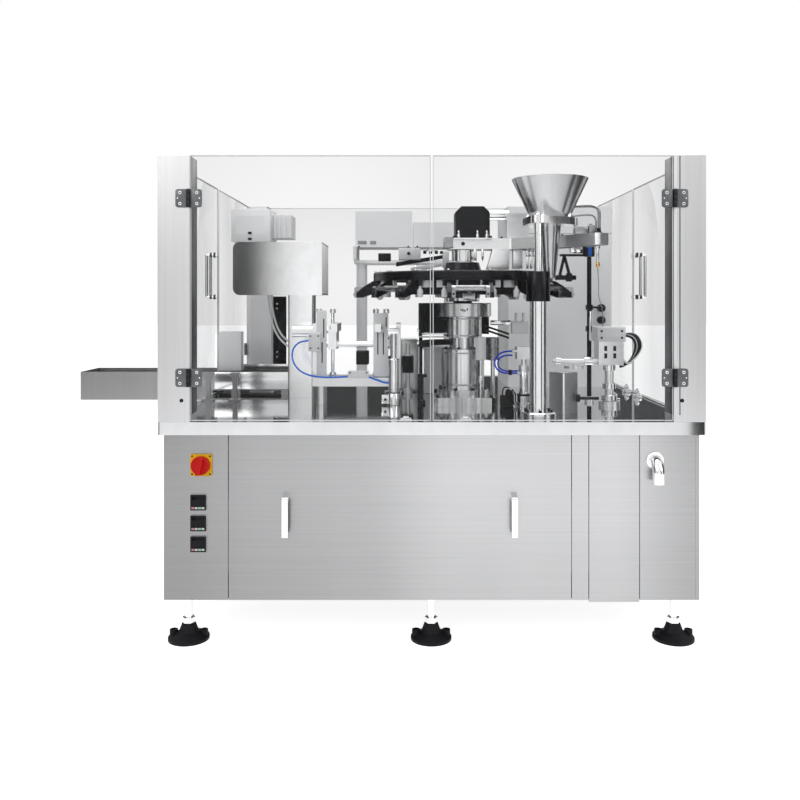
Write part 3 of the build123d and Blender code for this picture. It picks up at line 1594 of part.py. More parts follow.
# The bag feeder stands on four posts behind the carousel, and its separate
# vacuum unit stands on one column at the left.
with BuildPart() as bag_feeder:
    slab(feeder_x, feeder_y, (feeder_deck_z, feeder_deck_z + feeder_deck))
    deck_top = feeder_deck_z + feeder_deck
    rail_top = deck_top + feeder_rail_height
    rails = (feeder_x[0], feeder_middle_rail, feeder_x[1] - feeder_rail)
    for x in rails:
        slab((x, x + feeder_rail), (feeder_y[0] - feeder_rail_reach, feeder_y[1]), (deck_top, rail_top))
    for x in inset(feeder_x, feeder_post_inset):
        for y in inset(feeder_y, feeder_post_inset):
            bar((x, y, table_height), (x, y, feeder_deck_z), feeder_post_radius)
    half_rail = feeder_rail / 2
    hoods = (
        (rails[0] + half_rail, rails[1] + half_rail - hood_gap, magazine_hood_z),
        (rails[1] + half_rail + hood_gap, rails[2] + half_rail, feeder_hood_z),
    )
    for x0, x1, top in hoods:
        hood = ((x0, x1), (feeder_y[0] + hood_inset_front, feeder_y[1]), (rail_top, top))
        slab(*hood)
        slab(*[inset(span, feeder_hood_wall) for span in hood], mode=Mode.SUBTRACT)
    unit = (rear_unit_x, (rear_unit_y[0] + rear_unit_nose, rear_unit_y[1]), rear_unit_z)
    slab(*unit)
    slab(
        inset(rear_unit_x, rear_unit_nose / 3),
        (rear_unit_y[0], rear_unit_y[0] + rear_unit_nose),
        inset(rear_unit_z, rear_unit_nose / 2),
    )
    slab(*[inset(span, feeder_hood_wall) for span in unit], mode=Mode.SUBTRACT)
    slab((rear_unit_x[1], side_unit_x1), unit[1], side_unit_z)
    for number in range(side_unit_ribs):
        x = rear_unit_x[1] + (number + 0.5) * (side_unit_x1 - rear_unit_x[1]) / side_unit_ribs
        slab((x, x + side_unit_rib), (unit[1][0] - 2 * side_unit_rib, unit[1][0]), side_unit_z)
    column = (rear_column_x, rear_column_y, (table_height, rear_unit_z[0]))
    slab(*column)
    slab(*[inset(span, feeder_hood_wall) for span in column], mode=Mode.SUBTRACT)
    slab(
        (rear_column_x[0] - rear_column_foot, rear_column_x[1] + rear_column_foot),
        (rear_column_y[0] - rear_column_foot, rear_column_y[1] + rear_column_foot),
        (table_height, table_height + rear_column_foot),
    )
bag_feeder.part.label = "bag_feeder"
export_step(bag_feeder.part, "parts/bag_feeder.step")

# The electrical cabinet has its door at the back, inside the rear guard.
with BuildPart() as electrical_cabinet:
    slab(electrical_x, electrical_y, (table_height, electrical_top))
    fillet(electrical_cabinet.edges().filter_by(Axis.Z), radius=electrical_corner)
    electrical_z = (table_height, electrical_top)
    slab(
        inset(electrical_x, electrical_sheet),
        inset(electrical_y, electrical_sheet),
        inset(electrical_z, electrical_sheet),
        mode=Mode.SUBTRACT,
    )
    slab(
        inset(electrical_x, electrical_door_margin),
        (electrical_y[1], electrical_y[1] + electrical_door_sheet),
        inset(electrical_z, electrical_door_margin),
    )
    for z in regulator_rows:
        near = (regulator_x, electrical_y[0], z)
        deep = (regulator_x, electrical_y[0] + regulator_socket, z)
        bar(near, deep, 2 * regulator_neck_radius)
        bar(near, deep, regulator_neck_radius + running_fit, mode=Mode.SUBTRACT)
electrical_cabinet.part.label = "electrical_cabinet"
export_step(electrical_cabinet.part, "parts/electrical_cabinet.step")

for name, z in zip(("upper", "lower"), regulator_rows):
    with BuildPart() as regulator:
        near = electrical_y[0] - regulator_neck
        deep = electrical_y[0] + regulator_socket - regulator_socket_room
        bar((regulator_x, deep, z), (regulator_x, near, z), regulator_neck_radius)
        bar((regulator_x, near, z), (regulator_x, near - regulator_length, z), regulator_radius)
        chamfer(regulator.faces().sort_by(Axis.Y)[0].edges(), length=regulator_chamfer)
    regulator.part.label = f"regulator_{name}"
    export_step(regulator.part, f"parts/regulator_{name}.step")

# The opening station: its post, head, side bar, valve post and sensor rod.
with BuildPart() as opening_station:
    x, y = opener_post
    bar((x, y, table_height), (x, y, opener_post_top), opener_post_radius)
    bar((x, y, table_height), (x, y, table_height + post_foot), post_foot_radius)
    half_block = opener_block_depth / 2
    slab(opener_block_x, (y - half_block, y + half_block), opener_block_z)
    bar((opener_bar_end, y, opener_bar_z), (opener_block_x[0], y, opener_bar_z), opener_bar_radius)
    dial_z = opener_bar_z - opener_dial_drop
    bar((opener_dial_x, y, dial_z), (opener_dial_x, y, dial_z + opener_dial), opener_dial_radius)
    bar((opener_dial_x, y, dial_z), (opener_dial_x, y, opener_bar_z), opener_dial_stem)
    x, y = valve_post
    bar((x, y, table_height), (x, y, valve_post_top), station_post_radius)
    for z in (table_height, valve_post_top - 2 * collar_height):
        bar((x, y, z), (x, y, z + collar_height), collar_radius)
    half_valve = valve_block_side / 2
    slab(
        (x - half_valve, x + half_valve),
        (y - half_valve, y + half_valve),
        (valve_post_top, valve_post_top + valve_block_height),
    )
    x, y = sensor_rod
    bar((x, y, table_height), (x, y, sensor_rod_top), sensor_rod_radius)
    bar((x, y, table_height), (x, y, table_height + sensor_foot[1]), sensor_foot[0])
    slab(
        (x - sensor_head[0] / 2, x + sensor_head[0] / 2),
        (y - sensor_head[1] / 2, y + sensor_head[1] / 2),
        (sensor_rod_top, sensor_rod_top + sensor_head[2]),
    )
    with BuildSketch(Plane.XY.offset(table_height)) as bin_plan:
        with Locations(Location(feeder_box_place, feeder_box_turn)):
            RectangleRounded(feeder_box_side, feeder_box_side, feeder_box_corner)
    extrude(bin_plan.sketch, amount=feeder_box_height)
    x, y = opener_post
    with BuildSketch(Plane.XY.offset(opener_block_z[1])) as head_plan:
        with Locations(((opener_block_x[0] + opener_block_x[1]) / 2, y)):
            RectangleRounded(
                opener_block_x[1] - opener_block_x[0] + 2 * opener_head_rim[0],
                opener_block_depth + 2 * opener_head_rim[1],
                opener_head_corner,
            )
    extrude(head_plan.sketch, amount=opener_head_top - opener_block_z[1])
    x, y = valve_post
    bar(right_hose[0], (x - half_valve, *right_hose[0][1:]), fitting_radius)
    bar(right_hose[-1], (x, *right_hose[-1][1:]), fitting_radius)
opening_station.part.label = "opening_station"
export_step(opening_station.part, "parts/opening_station.step")

# Each air hose runs in even bends from one fitting to the other.
for name, route in (("left", left_hose), ("right", right_hose)):
    radii = bend_radii(route)
    with BuildPart() as air_hose:
        with BuildLine() as path:
            FilletPolyline(*route, radius=radii)
        first_run = Vector(route[1]) - Vector(route[0])
        with BuildSketch(Plane(origin=route[0], z_dir=first_run)):
            Circle(hose_radius)
        sweep(path=path.line)
    hose_length = path.wires()[0].length
    expected = pi * hose_radius**2 * hose_length
    print(f"{name} air hose: length {hose_length:.0f} mm,"
          f" volume over section times length {air_hose.part.volume / expected:.4f}")
    print("  bend radii " + ", ".join(f"{r:.0f}" for r in radii))
    air_hose.part.label = f"{name}_air_hose"
    export_step(air_hose.part, f"parts/{name}_air_hose.step")
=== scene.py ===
"""Looks of the premade pouch packing machine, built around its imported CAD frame.

Every length is in millimetres in this script and becomes metres in the meshes.
"""

from __future__ import annotations

import logging
import math
from dataclasses import dataclass, field
from enum import Enum
from typing import Sequence

import bmesh
import bpy
from mathutils import Matrix, Vector


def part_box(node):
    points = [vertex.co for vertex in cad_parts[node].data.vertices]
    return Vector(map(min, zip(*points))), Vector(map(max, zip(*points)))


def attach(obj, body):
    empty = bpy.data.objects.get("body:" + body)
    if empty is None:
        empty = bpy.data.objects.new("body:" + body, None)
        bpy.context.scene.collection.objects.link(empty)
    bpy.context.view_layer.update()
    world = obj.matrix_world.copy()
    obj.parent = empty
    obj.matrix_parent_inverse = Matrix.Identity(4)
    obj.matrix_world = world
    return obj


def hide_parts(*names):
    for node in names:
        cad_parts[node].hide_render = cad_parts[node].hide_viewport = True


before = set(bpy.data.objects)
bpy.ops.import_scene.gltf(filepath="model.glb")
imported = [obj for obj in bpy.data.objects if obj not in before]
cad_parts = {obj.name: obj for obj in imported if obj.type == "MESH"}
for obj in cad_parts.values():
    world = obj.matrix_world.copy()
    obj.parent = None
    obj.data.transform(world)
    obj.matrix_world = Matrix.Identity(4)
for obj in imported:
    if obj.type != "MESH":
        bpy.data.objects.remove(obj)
log = logging.getLogger("pouch_machine")
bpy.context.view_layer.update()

MM = 0.001
ROOT = "machine_frame"
Point = tuple[float, float, float]
Place = tuple[float, float]

FINE_DETAIL, BROAD_DETAIL = 4.0, 1.5
NOISE_LOW, NOISE_HIGH = 0.25, 0.75
SMOOTHEST, ROUGHEST = 0.82, 1.22
BUMP_DISTANCE = 0.0004
FLAT_ANGLE_COVER = 0.20
GLASS_IOR = 1.49
LOW_SHINE = 0.15
WELD_DISTANCE = 0.00002


class Surface(Enum):
    """How a finish catches light and what fine detail it carries."""

    BRUSHED = "brushed"
    POLISHED = "polished"
    PAINT = "paint"
    PLASTIC = "plastic"
    RUBBER = "rubber"
    ACRYLIC = "acrylic"
    CAST = "cast"
    HOSE = "hose"
    BELT = "belt"


@dataclass(frozen=True)
class Finish:
    """One finish of the machine.

    Args:
        name: Material name in the scene.
        surface: Kind of surface.
        colour: Base colour, linear red, green and blue.
        roughness: Middle roughness.
        grain: Direction of the brushing as scale along X, Y and Z.
        alpha: Cover of a clear sheet.
        slot: The record's material slot; not used.
        painted_reflection: Painted reflection and shade, as slow changes of tone, each as axis, ends in
            metres and factors.
        depth: Darkest and lightest factor of the fine texture, where it isn't the surface's own.
    """

    name: str
    surface: Surface
    colour: tuple[float, float, float]
    roughness: float
    grain: Point = (4.0, 4.0, 900.0)
    alpha: float = 1.0
    slot: str = ""
    painted_reflection: tuple[tuple[str, tuple[float, float], tuple[float, float]], ...] = ()
    depth: tuple[float, ...] = ()


class Finishes:
    """The finishes in use."""

    TABLE = Finish("table_steel", Surface.POLISHED, (0.60, 0.605, 0.61), 0.07, slot="polished_steel")
    # Painted reflection and shade: the panels are darker at their left and right ends and towards the
    # bottom.
    PANEL = Finish(
        "panel_steel", Surface.BRUSHED, (0.46, 0.46, 0.465), 0.30, (2, 2, 420), slot="brushed_steel",
        painted_reflection=(
            ("X", (-0.85, 0.42), (0.62, 1.08)), ("X", (0.55, 0.85), (1.0, 0.72)),
            ("Z", (0.15, 0.66), (0.84, 1.06)),
        ),
    )
    TROUGH = Finish(
        "trough_steel", Surface.BRUSHED, (0.36, 0.36, 0.365), 0.30, (420, 2, 2), slot="brushed_steel",
    )
    # Painted shade: dark steel for thin sheets on the posts' inner faces, where they are in shade.
    PAINTED_SHADE = Finish(
        "painted_shade_steel", Surface.BRUSHED, (0.11, 0.11, 0.115), 0.36, (420, 420, 1.5), slot="dark_steel",
    )
    COLUMN = Finish(
        "column_steel", Surface.BRUSHED, (0.66, 0.665, 0.67), 0.22, (70, 70, 0.6), slot="turned_steel",
        depth=(0.36, 1.28),
    )
    HOSE_PALE = Finish("pale_blue_hose", Surface.HOSE, (0.03, 0.20, 0.88), 0.30, slot="blue_hose")
    # Painted reflection and shade: the funnel steel is lighter on its left and darker on its right.
    SPUN = Finish(
        "spun_steel", Surface.POLISHED, (0.46, 0.465, 0.47), 0.20, slot="turned_steel",
        painted_reflection=(("X", (0.36, 0.48), (1.25, 0.72)),),
    )
    POST = Finish(
        "post_steel", Surface.BRUSHED, (0.60, 0.60, 0.605), 0.30, (420, 420, 1.5), slot="brushed_steel",
    )
    BRIGHT = Finish("bright_steel", Surface.POLISHED, (0.86, 0.865, 0.87), 0.15, slot="polished_steel")
    # Painted reflection and shade: the housing sheet runs from dark at its left to light at its right.
    SHEET = Finish(
        "polished_sheet", Surface.POLISHED, (0.80, 0.805, 0.81), 0.20, slot="polished_steel",
        painted_reflection=(("X", (-0.735, -0.44), (0.26, 1.15)),),
    )
    SATIN = Finish(
        "satin_steel", Surface.BRUSHED, (0.34, 0.345, 0.35), 0.26, (40, 40, 400), slot="turned_steel",
    )
    DARK = Finish("black_oxide", Surface.POLISHED, (0.020, 0.020, 0.022), 0.22, slot="dark_steel")
    BLACK = Finish("black_plastic", Surface.PLASTIC, (0.010, 0.010, 0.011), 0.38, slot="black_plastic")
    FRAME = Finish("frame_paint", Surface.PAINT, (0.30, 0.31, 0.32), 0.45, slot="painted_frame")
    MOTOR = Finish("motor_paint", Surface.PAINT, (0.05, 0.09, 0.16), 0.40, slot="motor_paint")
    WHITE = Finish("white_paint", Surface.PAINT, (0.88, 0.885, 0.89), 0.35, slot="white_paint")
    ALU = Finish("anodised", Surface.BRUSHED, (0.82, 0.825, 0.83), 0.34, (30, 30, 240), slot="aluminium")
    ACRYLIC = Finish(
        "clear_sheet", Surface.ACRYLIC, (0.16, 0.165, 0.17), 0.03, alpha=0.022, slot="clear_acrylic",
    )
    EDGE = Finish("sheet_edge", Surface.ACRYLIC, (0.92, 0.94, 0.95), 0.20, alpha=0.80, slot="clear_acrylic")
    HINGE = Finish("cast_hinge", Surface.CAST, (0.13, 0.135, 0.14), 0.42, slot="cast_hinge")
    SCREW = Finish("black_screw", Surface.POLISHED, (0.03, 0.03, 0.032), 0.30, slot="dark_steel")
    RUBBER = Finish("foot_rubber", Surface.RUBBER, (0.012, 0.012, 0.014), 0.55, slot="black_rubber")
    YELLOW = Finish("switch_yellow", Surface.PLASTIC, (0.90, 0.52, 0.015), 0.32, slot="yellow_plastic")
    RED = Finish("switch_red", Surface.PLASTIC, (0.62, 0.012, 0.010), 0.30, slot="red_plastic")
    HOSE = Finish("blue_hose", Surface.HOSE, (0.008, 0.055, 0.72), 0.30, slot="blue_hose")
    BELT = Finish("belt_rubber", Surface.BELT, (0.03, 0.03, 0.032), 0.60, slot="belt_rubber")
    BRASS = Finish("brass", Surface.POLISHED, (0.66, 0.42, 0.14), 0.22, slot="turned_steel")
    DISPLAY = Finish("display_window", Surface.PLASTIC, (0.006, 0.006, 0.008), 0.12, slot="black_plastic")
    KEY_PINK = Finish("key_pink", Surface.PLASTIC, (0.72, 0.30, 0.34), 0.40, slot="black_plastic")
    KEY_WHITE = Finish("key_white", Surface.PLASTIC, (0.72, 0.73, 0.74), 0.40, slot="black_plastic")
    KEY_GREEN = Finish("key_green", Surface.PLASTIC, (0.45, 0.66, 0.50), 0.40, slot="black_plastic")
    CREAM = Finish("white_hose", Surface.HOSE, (0.84, 0.85, 0.85), 0.35, slot="white_paint")
    BLUE = Finish("sensor_blue", Surface.PLASTIC, (0.02, 0.12, 0.55), 0.30, slot="blue_hose")


@dataclass(frozen=True)
class Texture:
    """Fine detail of one kind of surface.

    Args:
        scale: Texture scale along each axis. An empty one takes the finish's grain.
        depth: Darkest and lightest factor of the fine texture.
        bump: Strength of the fine bump.
        metal: How metallic the surface is.
        shine: Specular level.
    """

    scale: tuple[float, ...]
    depth: tuple[float, float] = (0.96, 1.04)
    bump: float = 0.0
    metal: float = 0.0
    shine: float = 0.5


TEXTURES = {
    Surface.BRUSHED: Texture((), (0.94, 1.06), 0.05, 1.0),
    Surface.POLISHED: Texture((22.0, 22.0, 22.0), metal=1.0),
    Surface.PAINT: Texture((420.0, 420.0, 420.0), bump=0.06),
    Surface.PLASTIC: Texture((700.0, 700.0, 700.0), bump=0.06, shine=LOW_SHINE),
    Surface.RUBBER: Texture((500.0, 500.0, 500.0), (0.80, 1.25), 0.30, shine=LOW_SHINE),
    Surface.ACRYLIC: Texture((3.0, 3.0, 3.0), shine=LOW_SHINE),
    Surface.CAST: Texture((380.0, 380.0, 380.0), (0.80, 1.16), 0.30, 0.75),
    Surface.HOSE: Texture((60.0, 60.0, 60.0), shine=LOW_SHINE),
    Surface.BELT: Texture((300.0, 900.0, 300.0), (0.75, 1.3), 0.40, shine=LOW_SHINE),
}


def add_node(
    tree: bpy.types.NodeTree, kind: str, values: dict | None = None, links: dict | None = None,
    operation: str = "",
) -> bpy.types.Node:
    """Add a shader node, set its inputs and link them.

    Args:
        tree: The nodes of a material or of the world.
        kind: The node's type, without ShaderNode in front.
        values: Values of inputs, by name or number.
        links: Outputs that feed inputs, by name or number.
        operation: What a Math or Vector Math node does.

    Returns:
        The new node.
    """
    node = tree.nodes.new(f"ShaderNode{kind}")
    if operation:
        node.operation = operation
    for socket, value in (values or {}).items():
        node.inputs[socket].default_value = value
    for socket, source in (links or {}).items():
        tree.links.new(source, node.inputs[socket])
    return node


def put(name: str, data: bpy.types.ID) -> bpy.types.Object:
    """Put a new object with its data into the scene.

    Args:
        name: Name of the object.
        data: Its mesh, curve, camera or lamp.

    Returns:
        The new object.
    """
    thing = bpy.data.objects.new(name, data)
    bpy.context.scene.collection.objects.link(thing)
    return thing


def to_mesh(bm: bmesh.types.BMesh, name: str) -> bpy.types.Mesh:
    """Turn a bmesh into a mesh and free it.

    Args:
        bm: The bmesh.
        name: Name of the mesh.

    Returns:
        The new mesh.
    """
    mesh = bpy.data.meshes.new(name)
    bm.to_mesh(mesh)
    bm.free()
    return mesh


class Paintbox:
    """Makes each finish once, as a node material in object coordinates."""

    def __init__(self) -> None:
        self.made: dict[str, bpy.types.Material] = {}

    def get(self, finish: Finish) -> bpy.types.Material:
        """Return the material of a finish, making it on first use.

        Args:
            finish: The finish.

        Returns:
            The node material.
        """
        if finish.name not in self.made:
            self.made[finish.name] = self._make(finish)
        return self.made[finish.name]

    def _make(self, finish: Finish) -> bpy.types.Material:
        """Build the node tree of one finish.

        Args:
            finish: The finish.

        Returns:
            The new material.
        """
        material = bpy.data.materials.new(finish.name)
        material.use_nodes = True
        tree = material.node_tree
        shader = tree.nodes["Principled BSDF"]
        texture = TEXTURES[finish.surface]
        shader.inputs["Metallic"].default_value = texture.metal
        shader.inputs["IOR"].default_value = GLASS_IOR
        shader.inputs["Specular IOR Level"].default_value = texture.shine

        place = add_node(tree, "TexCoord").outputs["Object"]
        fine = self._noise(tree, place, texture.scale or finish.grain, FINE_DETAIL)
        broad = self._noise(tree, place, self._sheen(finish), BROAD_DETAIL)
        tone = self._ramp(tree, broad, *self._tone(finish))
        # Painted reflection and shade: slow bands of tone along the axes.
        if finish.painted_reflection:
            tone = self._paint_reflection(tree, place, tone, finish)
        grain = self._ramp(tree, fine, *(finish.depth or texture.depth))
        both = self._times(tree, tone, grain)
        tint = add_node(tree, "VectorMath", {0: finish.colour}, {"Scale": both}, "SCALE")
        rough = add_node(
            tree, "MapRange",
            {"To Min": finish.roughness * SMOOTHEST, "To Max": finish.roughness * ROUGHEST},
            {"Value": fine},
        )
        bump = add_node(
            tree, "Bump", {"Strength": texture.bump, "Distance": BUMP_DISTANCE}, {"Height": fine},
        )
        tree.links.new(tint.outputs["Vector"], shader.inputs["Base Color"])
        tree.links.new(rough.outputs["Result"], shader.inputs["Roughness"])
        tree.links.new(bump.outputs["Normal"], shader.inputs["Normal"])
        if finish.alpha < 1.0:
            self._clear(tree, finish)
            material.blend_method = "BLEND"
        return material

    @staticmethod
    def _noise(
        tree: bpy.types.NodeTree, place: bpy.types.NodeSocket, scale: Sequence[float], detail: float,
    ) -> bpy.types.NodeSocket:
        """Noise that is stretched along the axes.

        Args:
            tree: The material's nodes.
            place: Object coordinates.
            scale: Scale along each axis.
            detail: Octaves of the noise.

        Returns:
            The noise value.
        """
        mapping = add_node(tree, "Mapping", {"Scale": scale}, {"Vector": place})
        noise = add_node(
            tree, "TexNoise", {"Scale": 1.0, "Detail": detail}, {"Vector": mapping.outputs["Vector"]},
        )
        return noise.outputs["Fac"]

    @staticmethod
    def _clear(tree: bpy.types.NodeTree, finish: Finish) -> None:
        """Make a sheet clear when seen straight on and denser at a flat angle.

        Args:
            tree: The material's nodes.
            finish: The finish.
        """
        edge = add_node(tree, "LayerWeight", {"Blend": 0.35})
        cover = add_node(
            tree, "MapRange",
            {"To Min": finish.alpha, "To Max": min(1.0, finish.alpha + FLAT_ANGLE_COVER)},
            {"Value": edge.outputs["Facing"]},
        )
        tree.links.new(cover.outputs["Result"], tree.nodes["Principled BSDF"].inputs["Alpha"])

    def _paint_reflection(
        self, tree: bpy.types.NodeTree, place: bpy.types.NodeSocket, tone: bpy.types.NodeSocket,
        finish: Finish,
    ) -> bpy.types.NodeSocket:
        """Paint reflected light and shade into a finish, running slowly from dark to light, as the room
        shows in flat steel.

        Args:
            tree: The material's nodes.
            place: Object coordinates.
            tone: The factor so far.
            finish: The finish.

        Returns:
            The factor with the painted reflection and shade.
        """
        split = add_node(tree, "SeparateXYZ", links={"Vector": place})
        for axis, ends, factors in finish.painted_reflection:
            limits = dict(zip(("From Min", "From Max", "To Min", "To Max"), (*ends, *factors)))
            run = add_node(tree, "MapRange", limits, {"Value": split.outputs[axis]})
            run.interpolation_type = "SMOOTHSTEP"
            tone = self._times(tree, tone, run.outputs["Result"])
        return tone

    @staticmethod
    def _sheen(finish: Finish) -> Point:
        """Scale of the broad light and dark bands of a finish."""
        return (2.1, 2.1, 0.35) if finish.surface is Surface.BRUSHED else (2.6, 2.6, 2.6)

    @staticmethod
    def _tone(finish: Finish) -> tuple[float, float]:
        """Darkest and lightest factor of the broad bands."""
        return (0.90, 1.10) if finish.surface is Surface.BRUSHED else (0.92, 1.06)

    @staticmethod
    def _times(
        tree: bpy.types.NodeTree, one: bpy.types.NodeSocket, other: bpy.types.NodeSocket,
    ) -> bpy.types.NodeSocket:
        """Product of two factors."""
        return add_node(tree, "Math", links={0: one, 1: other}, operation="MULTIPLY").outputs["Value"]

    @staticmethod
    def _ramp(
        tree: bpy.types.NodeTree, source: bpy.types.NodeSocket, low: float, high: float,
    ) -> bpy.types.NodeSocket:
        """Map a noise value to a factor between two values."""
        limits = {"From Min": NOISE_LOW, "From Max": NOISE_HIGH, "To Min": low, "To Max": high}
        return add_node(tree, "MapRange", limits, {"Value": source}).outputs["Result"]


PAINTS = Paintbox()


class Piece:
    """Gathers solid forms in millimetres and becomes one finished piece.

    Args:
        name: Name of the piece.
        finish: Its finish.
        body: The CAD body that it rides on.
    """

    def __init__(self, name: str, finish: Finish, body: str = ROOT) -> None:
        self.name, self.finish, self.body = name, finish, body
        self.bm = bmesh.new()

    def block(self, low: Point, high: Point, bevel: float = 0.0, turn: float = 0.0) -> Piece:
        """Add a block between two corners, turned about its own upright axis.

        Args:
            low: Lower corner.
            high: Upper corner.
            bevel: Width of the softened edges.
            turn: Turn about its own upright axis, in degrees.

        Returns:
            This piece.
        """
        size = [h - l for l, h in zip(low, high)]
        middle = Vector([(l + h) / 2 for l, h in zip(low, high)])
        matrix = (
            Matrix.Translation(middle)
            @ Matrix.Rotation(math.radians(turn), 4, "Z")
            @ Matrix.Diagonal((*size, 1.0))
        )
        made = bmesh.ops.create_cube(self.bm, size=1.0, matrix=matrix)
        self._round(made["verts"], bevel)
        return self

    def rod(self, start: Point, end: Point, radius: float, tip: float | None = None,
            bevel: float = 0.0, sides: int = 40) -> Piece:
        """Add a round bar or a cone frustum from start to end.

        Args:
            start: Middle of the first end.
            end: Middle of the other end.
            radius: Radius at the first end.
            tip: Radius at the other end, if it differs.
            bevel: Width of the softened edges.
            sides: Sides of the outline.

        Returns:
            This piece.
        """
        run = Vector(end) - Vector(start)
        middle = Matrix.Translation((Vector(start) + Vector(end)) / 2)
        matrix = middle @ run.to_track_quat("Z", "Y").to_matrix().to_4x4()
        made = bmesh.ops.create_cone(
            self.bm, cap_ends=True, segments=sides, radius1=radius,
            radius2=radius if tip is None else tip, depth=run.length, matrix=matrix,
        )
        self._round(made["verts"], bevel, 50.0)
        return self

    def pin(self, place: Sequence[float], low: float, high: float, radius: float,
            tip: float | None = None, bevel: float = 0.0, sides: int = 40) -> Piece:
        """Add an upright round bar at a place, between two heights.

        Args:
            place: X and Y of its axis.
            low: Height of the first end.
            high: Height of the other end.
            radius: Radius at the first end.
            tip: Radius at the other end, if it differs.
            bevel: Width of the softened edges.
            sides: Sides of the outline.

        Returns:
            This piece.
        """
        x, y = place[:2]
        return self.rod((x, y, low), (x, y, high), radius, tip, bevel, sides)

    def turned(self, place: Point, profile: Sequence[tuple[float, float]],
               axis: Point = (0, 0, 1), steps: int = 56) -> Piece:
        """Spin a (radius, height) profile about an axis through a place.

        Args:
            place: A point on the axis.
            profile: Pairs of radius and height.
            axis: Direction of the axis.
            steps: Steps of the full turn.

        Returns:
            This piece.
        """
        spin_axis = Vector(axis)
        frame_matrix = Matrix.Translation(place) @ spin_axis.to_track_quat("Z", "Y").to_matrix().to_4x4()
        points = [self.bm.verts.new(frame_matrix @ Vector((r, 0, h))) for r, h in profile]
        edges = [self.bm.edges.new(pair) for pair in zip(points, points[1:])]
        bmesh.ops.spin(
            self.bm, geom=points + edges, cent=place, axis=spin_axis, dvec=(0, 0, 0),
            angle=2 * math.pi, steps=steps, use_merge=True,
        )
        return self

    def prism(self, outline: Sequence[Point], push: Point, bevel: float = 0.0) -> Piece:
        """Add a flat outline pushed along a direction.

        Args:
            outline: Corners of the outline.
            push: How far and which way it is pushed.
            bevel: Width of the softened edges.

        Returns:
            This piece.
        """
        ring = [self.bm.verts.new(p) for p in outline]
        face = self.bm.faces.new(ring)
        made = bmesh.ops.extrude_face_region(self.bm, geom=[face])
        moved = [v for v in made["geom"] if isinstance(v, bmesh.types.BMVert)]
        bmesh.ops.translate(self.bm, verts=moved, vec=push)
        self._round(ring + moved, bevel)
        return self

    def _round(self, verts: list, width: float, limit: float = 30.0) -> None:
        """Bevel the sharp edges of what was just added.

        Args:
            verts: The new vertices.
            width: Width of the softened edges.
            limit: Least angle of an edge that is softened, in degrees.
        """
        if width <= 0:
            return
        chosen = set(verts)
        edges = [
            e for e in self.bm.edges
            if e.verts[0] in chosen and e.verts[1] in chosen
            and (not e.link_faces or len(e.link_faces) < 2 or e.calc_face_angle(0.0) > math.radians(limit))
        ]
        bmesh.ops.bevel(
            self.bm, geom=edges, offset=width, offset_type="OFFSET", segments=2,
            profile=0.5, affect="EDGES", clamp_overlap=True, material=-1,
        )

    def make(self, replaces: Sequence[str] = ()) -> bpy.types.Object:
        """Turn the gathered forms into the finished piece.

        Args:
            replaces: CAD nodes that the piece stands for.

        Returns:
            The new object, riding on its body.
        """
        bmesh.ops.remove_doubles(self.bm, verts=self.bm.verts, dist=0.0005)
        bmesh.ops.recalc_face_normals(self.bm, faces=self.bm.faces)
        bmesh.ops.scale(self.bm, vec=(MM, MM, MM), verts=self.bm.verts)
        mesh = to_mesh(self.bm, self.name)
        mesh.polygons.foreach_set("use_smooth", [True] * len(mesh.polygons))
        mesh.set_sharp_from_angle(angle=math.radians(32))
        mesh.materials.append(PAINTS.get(self.finish))
        piece = put(self.name, mesh)
        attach(piece, self.body)
        if replaces:
            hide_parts(*replaces)
        log.info("made %s", self.name)
        return piece


def tube(
    name: str, points: Sequence[Point], radius: float, finish: Finish, body: str = ROOT,
) -> bpy.types.Object:
    """Make a fixed tube or wire along a smooth curve through control points.

    Args:
        name: Name of the piece.
        points: Control points, in millimetres.
        radius: Outside radius, in millimetres.
        finish: Its finish.
        body: The CAD body that it rides on.

    Returns:
        The curve object.
    """
    curve = bpy.data.curves.new(name, "CURVE")
    curve.dimensions = "3D"
    curve.bevel_depth = radius * MM
    curve.bevel_resolution = 4
    curve.resolution_u = 10
    curve.use_fill_caps = True
    spline = curve.splines.new("NURBS")
    spline.points.add(len(points) - 1)
    for control, point in zip(spline.points, points):
        control.co = (*[c * MM for c in point], 1.0)
    spline.order_u = 3
    spline.use_endpoint_u = True
    curve.materials.append(PAINTS.get(finish))
    piece = put(name, curve)
    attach(piece, body)
    log.info("made %s", name)
    return piece


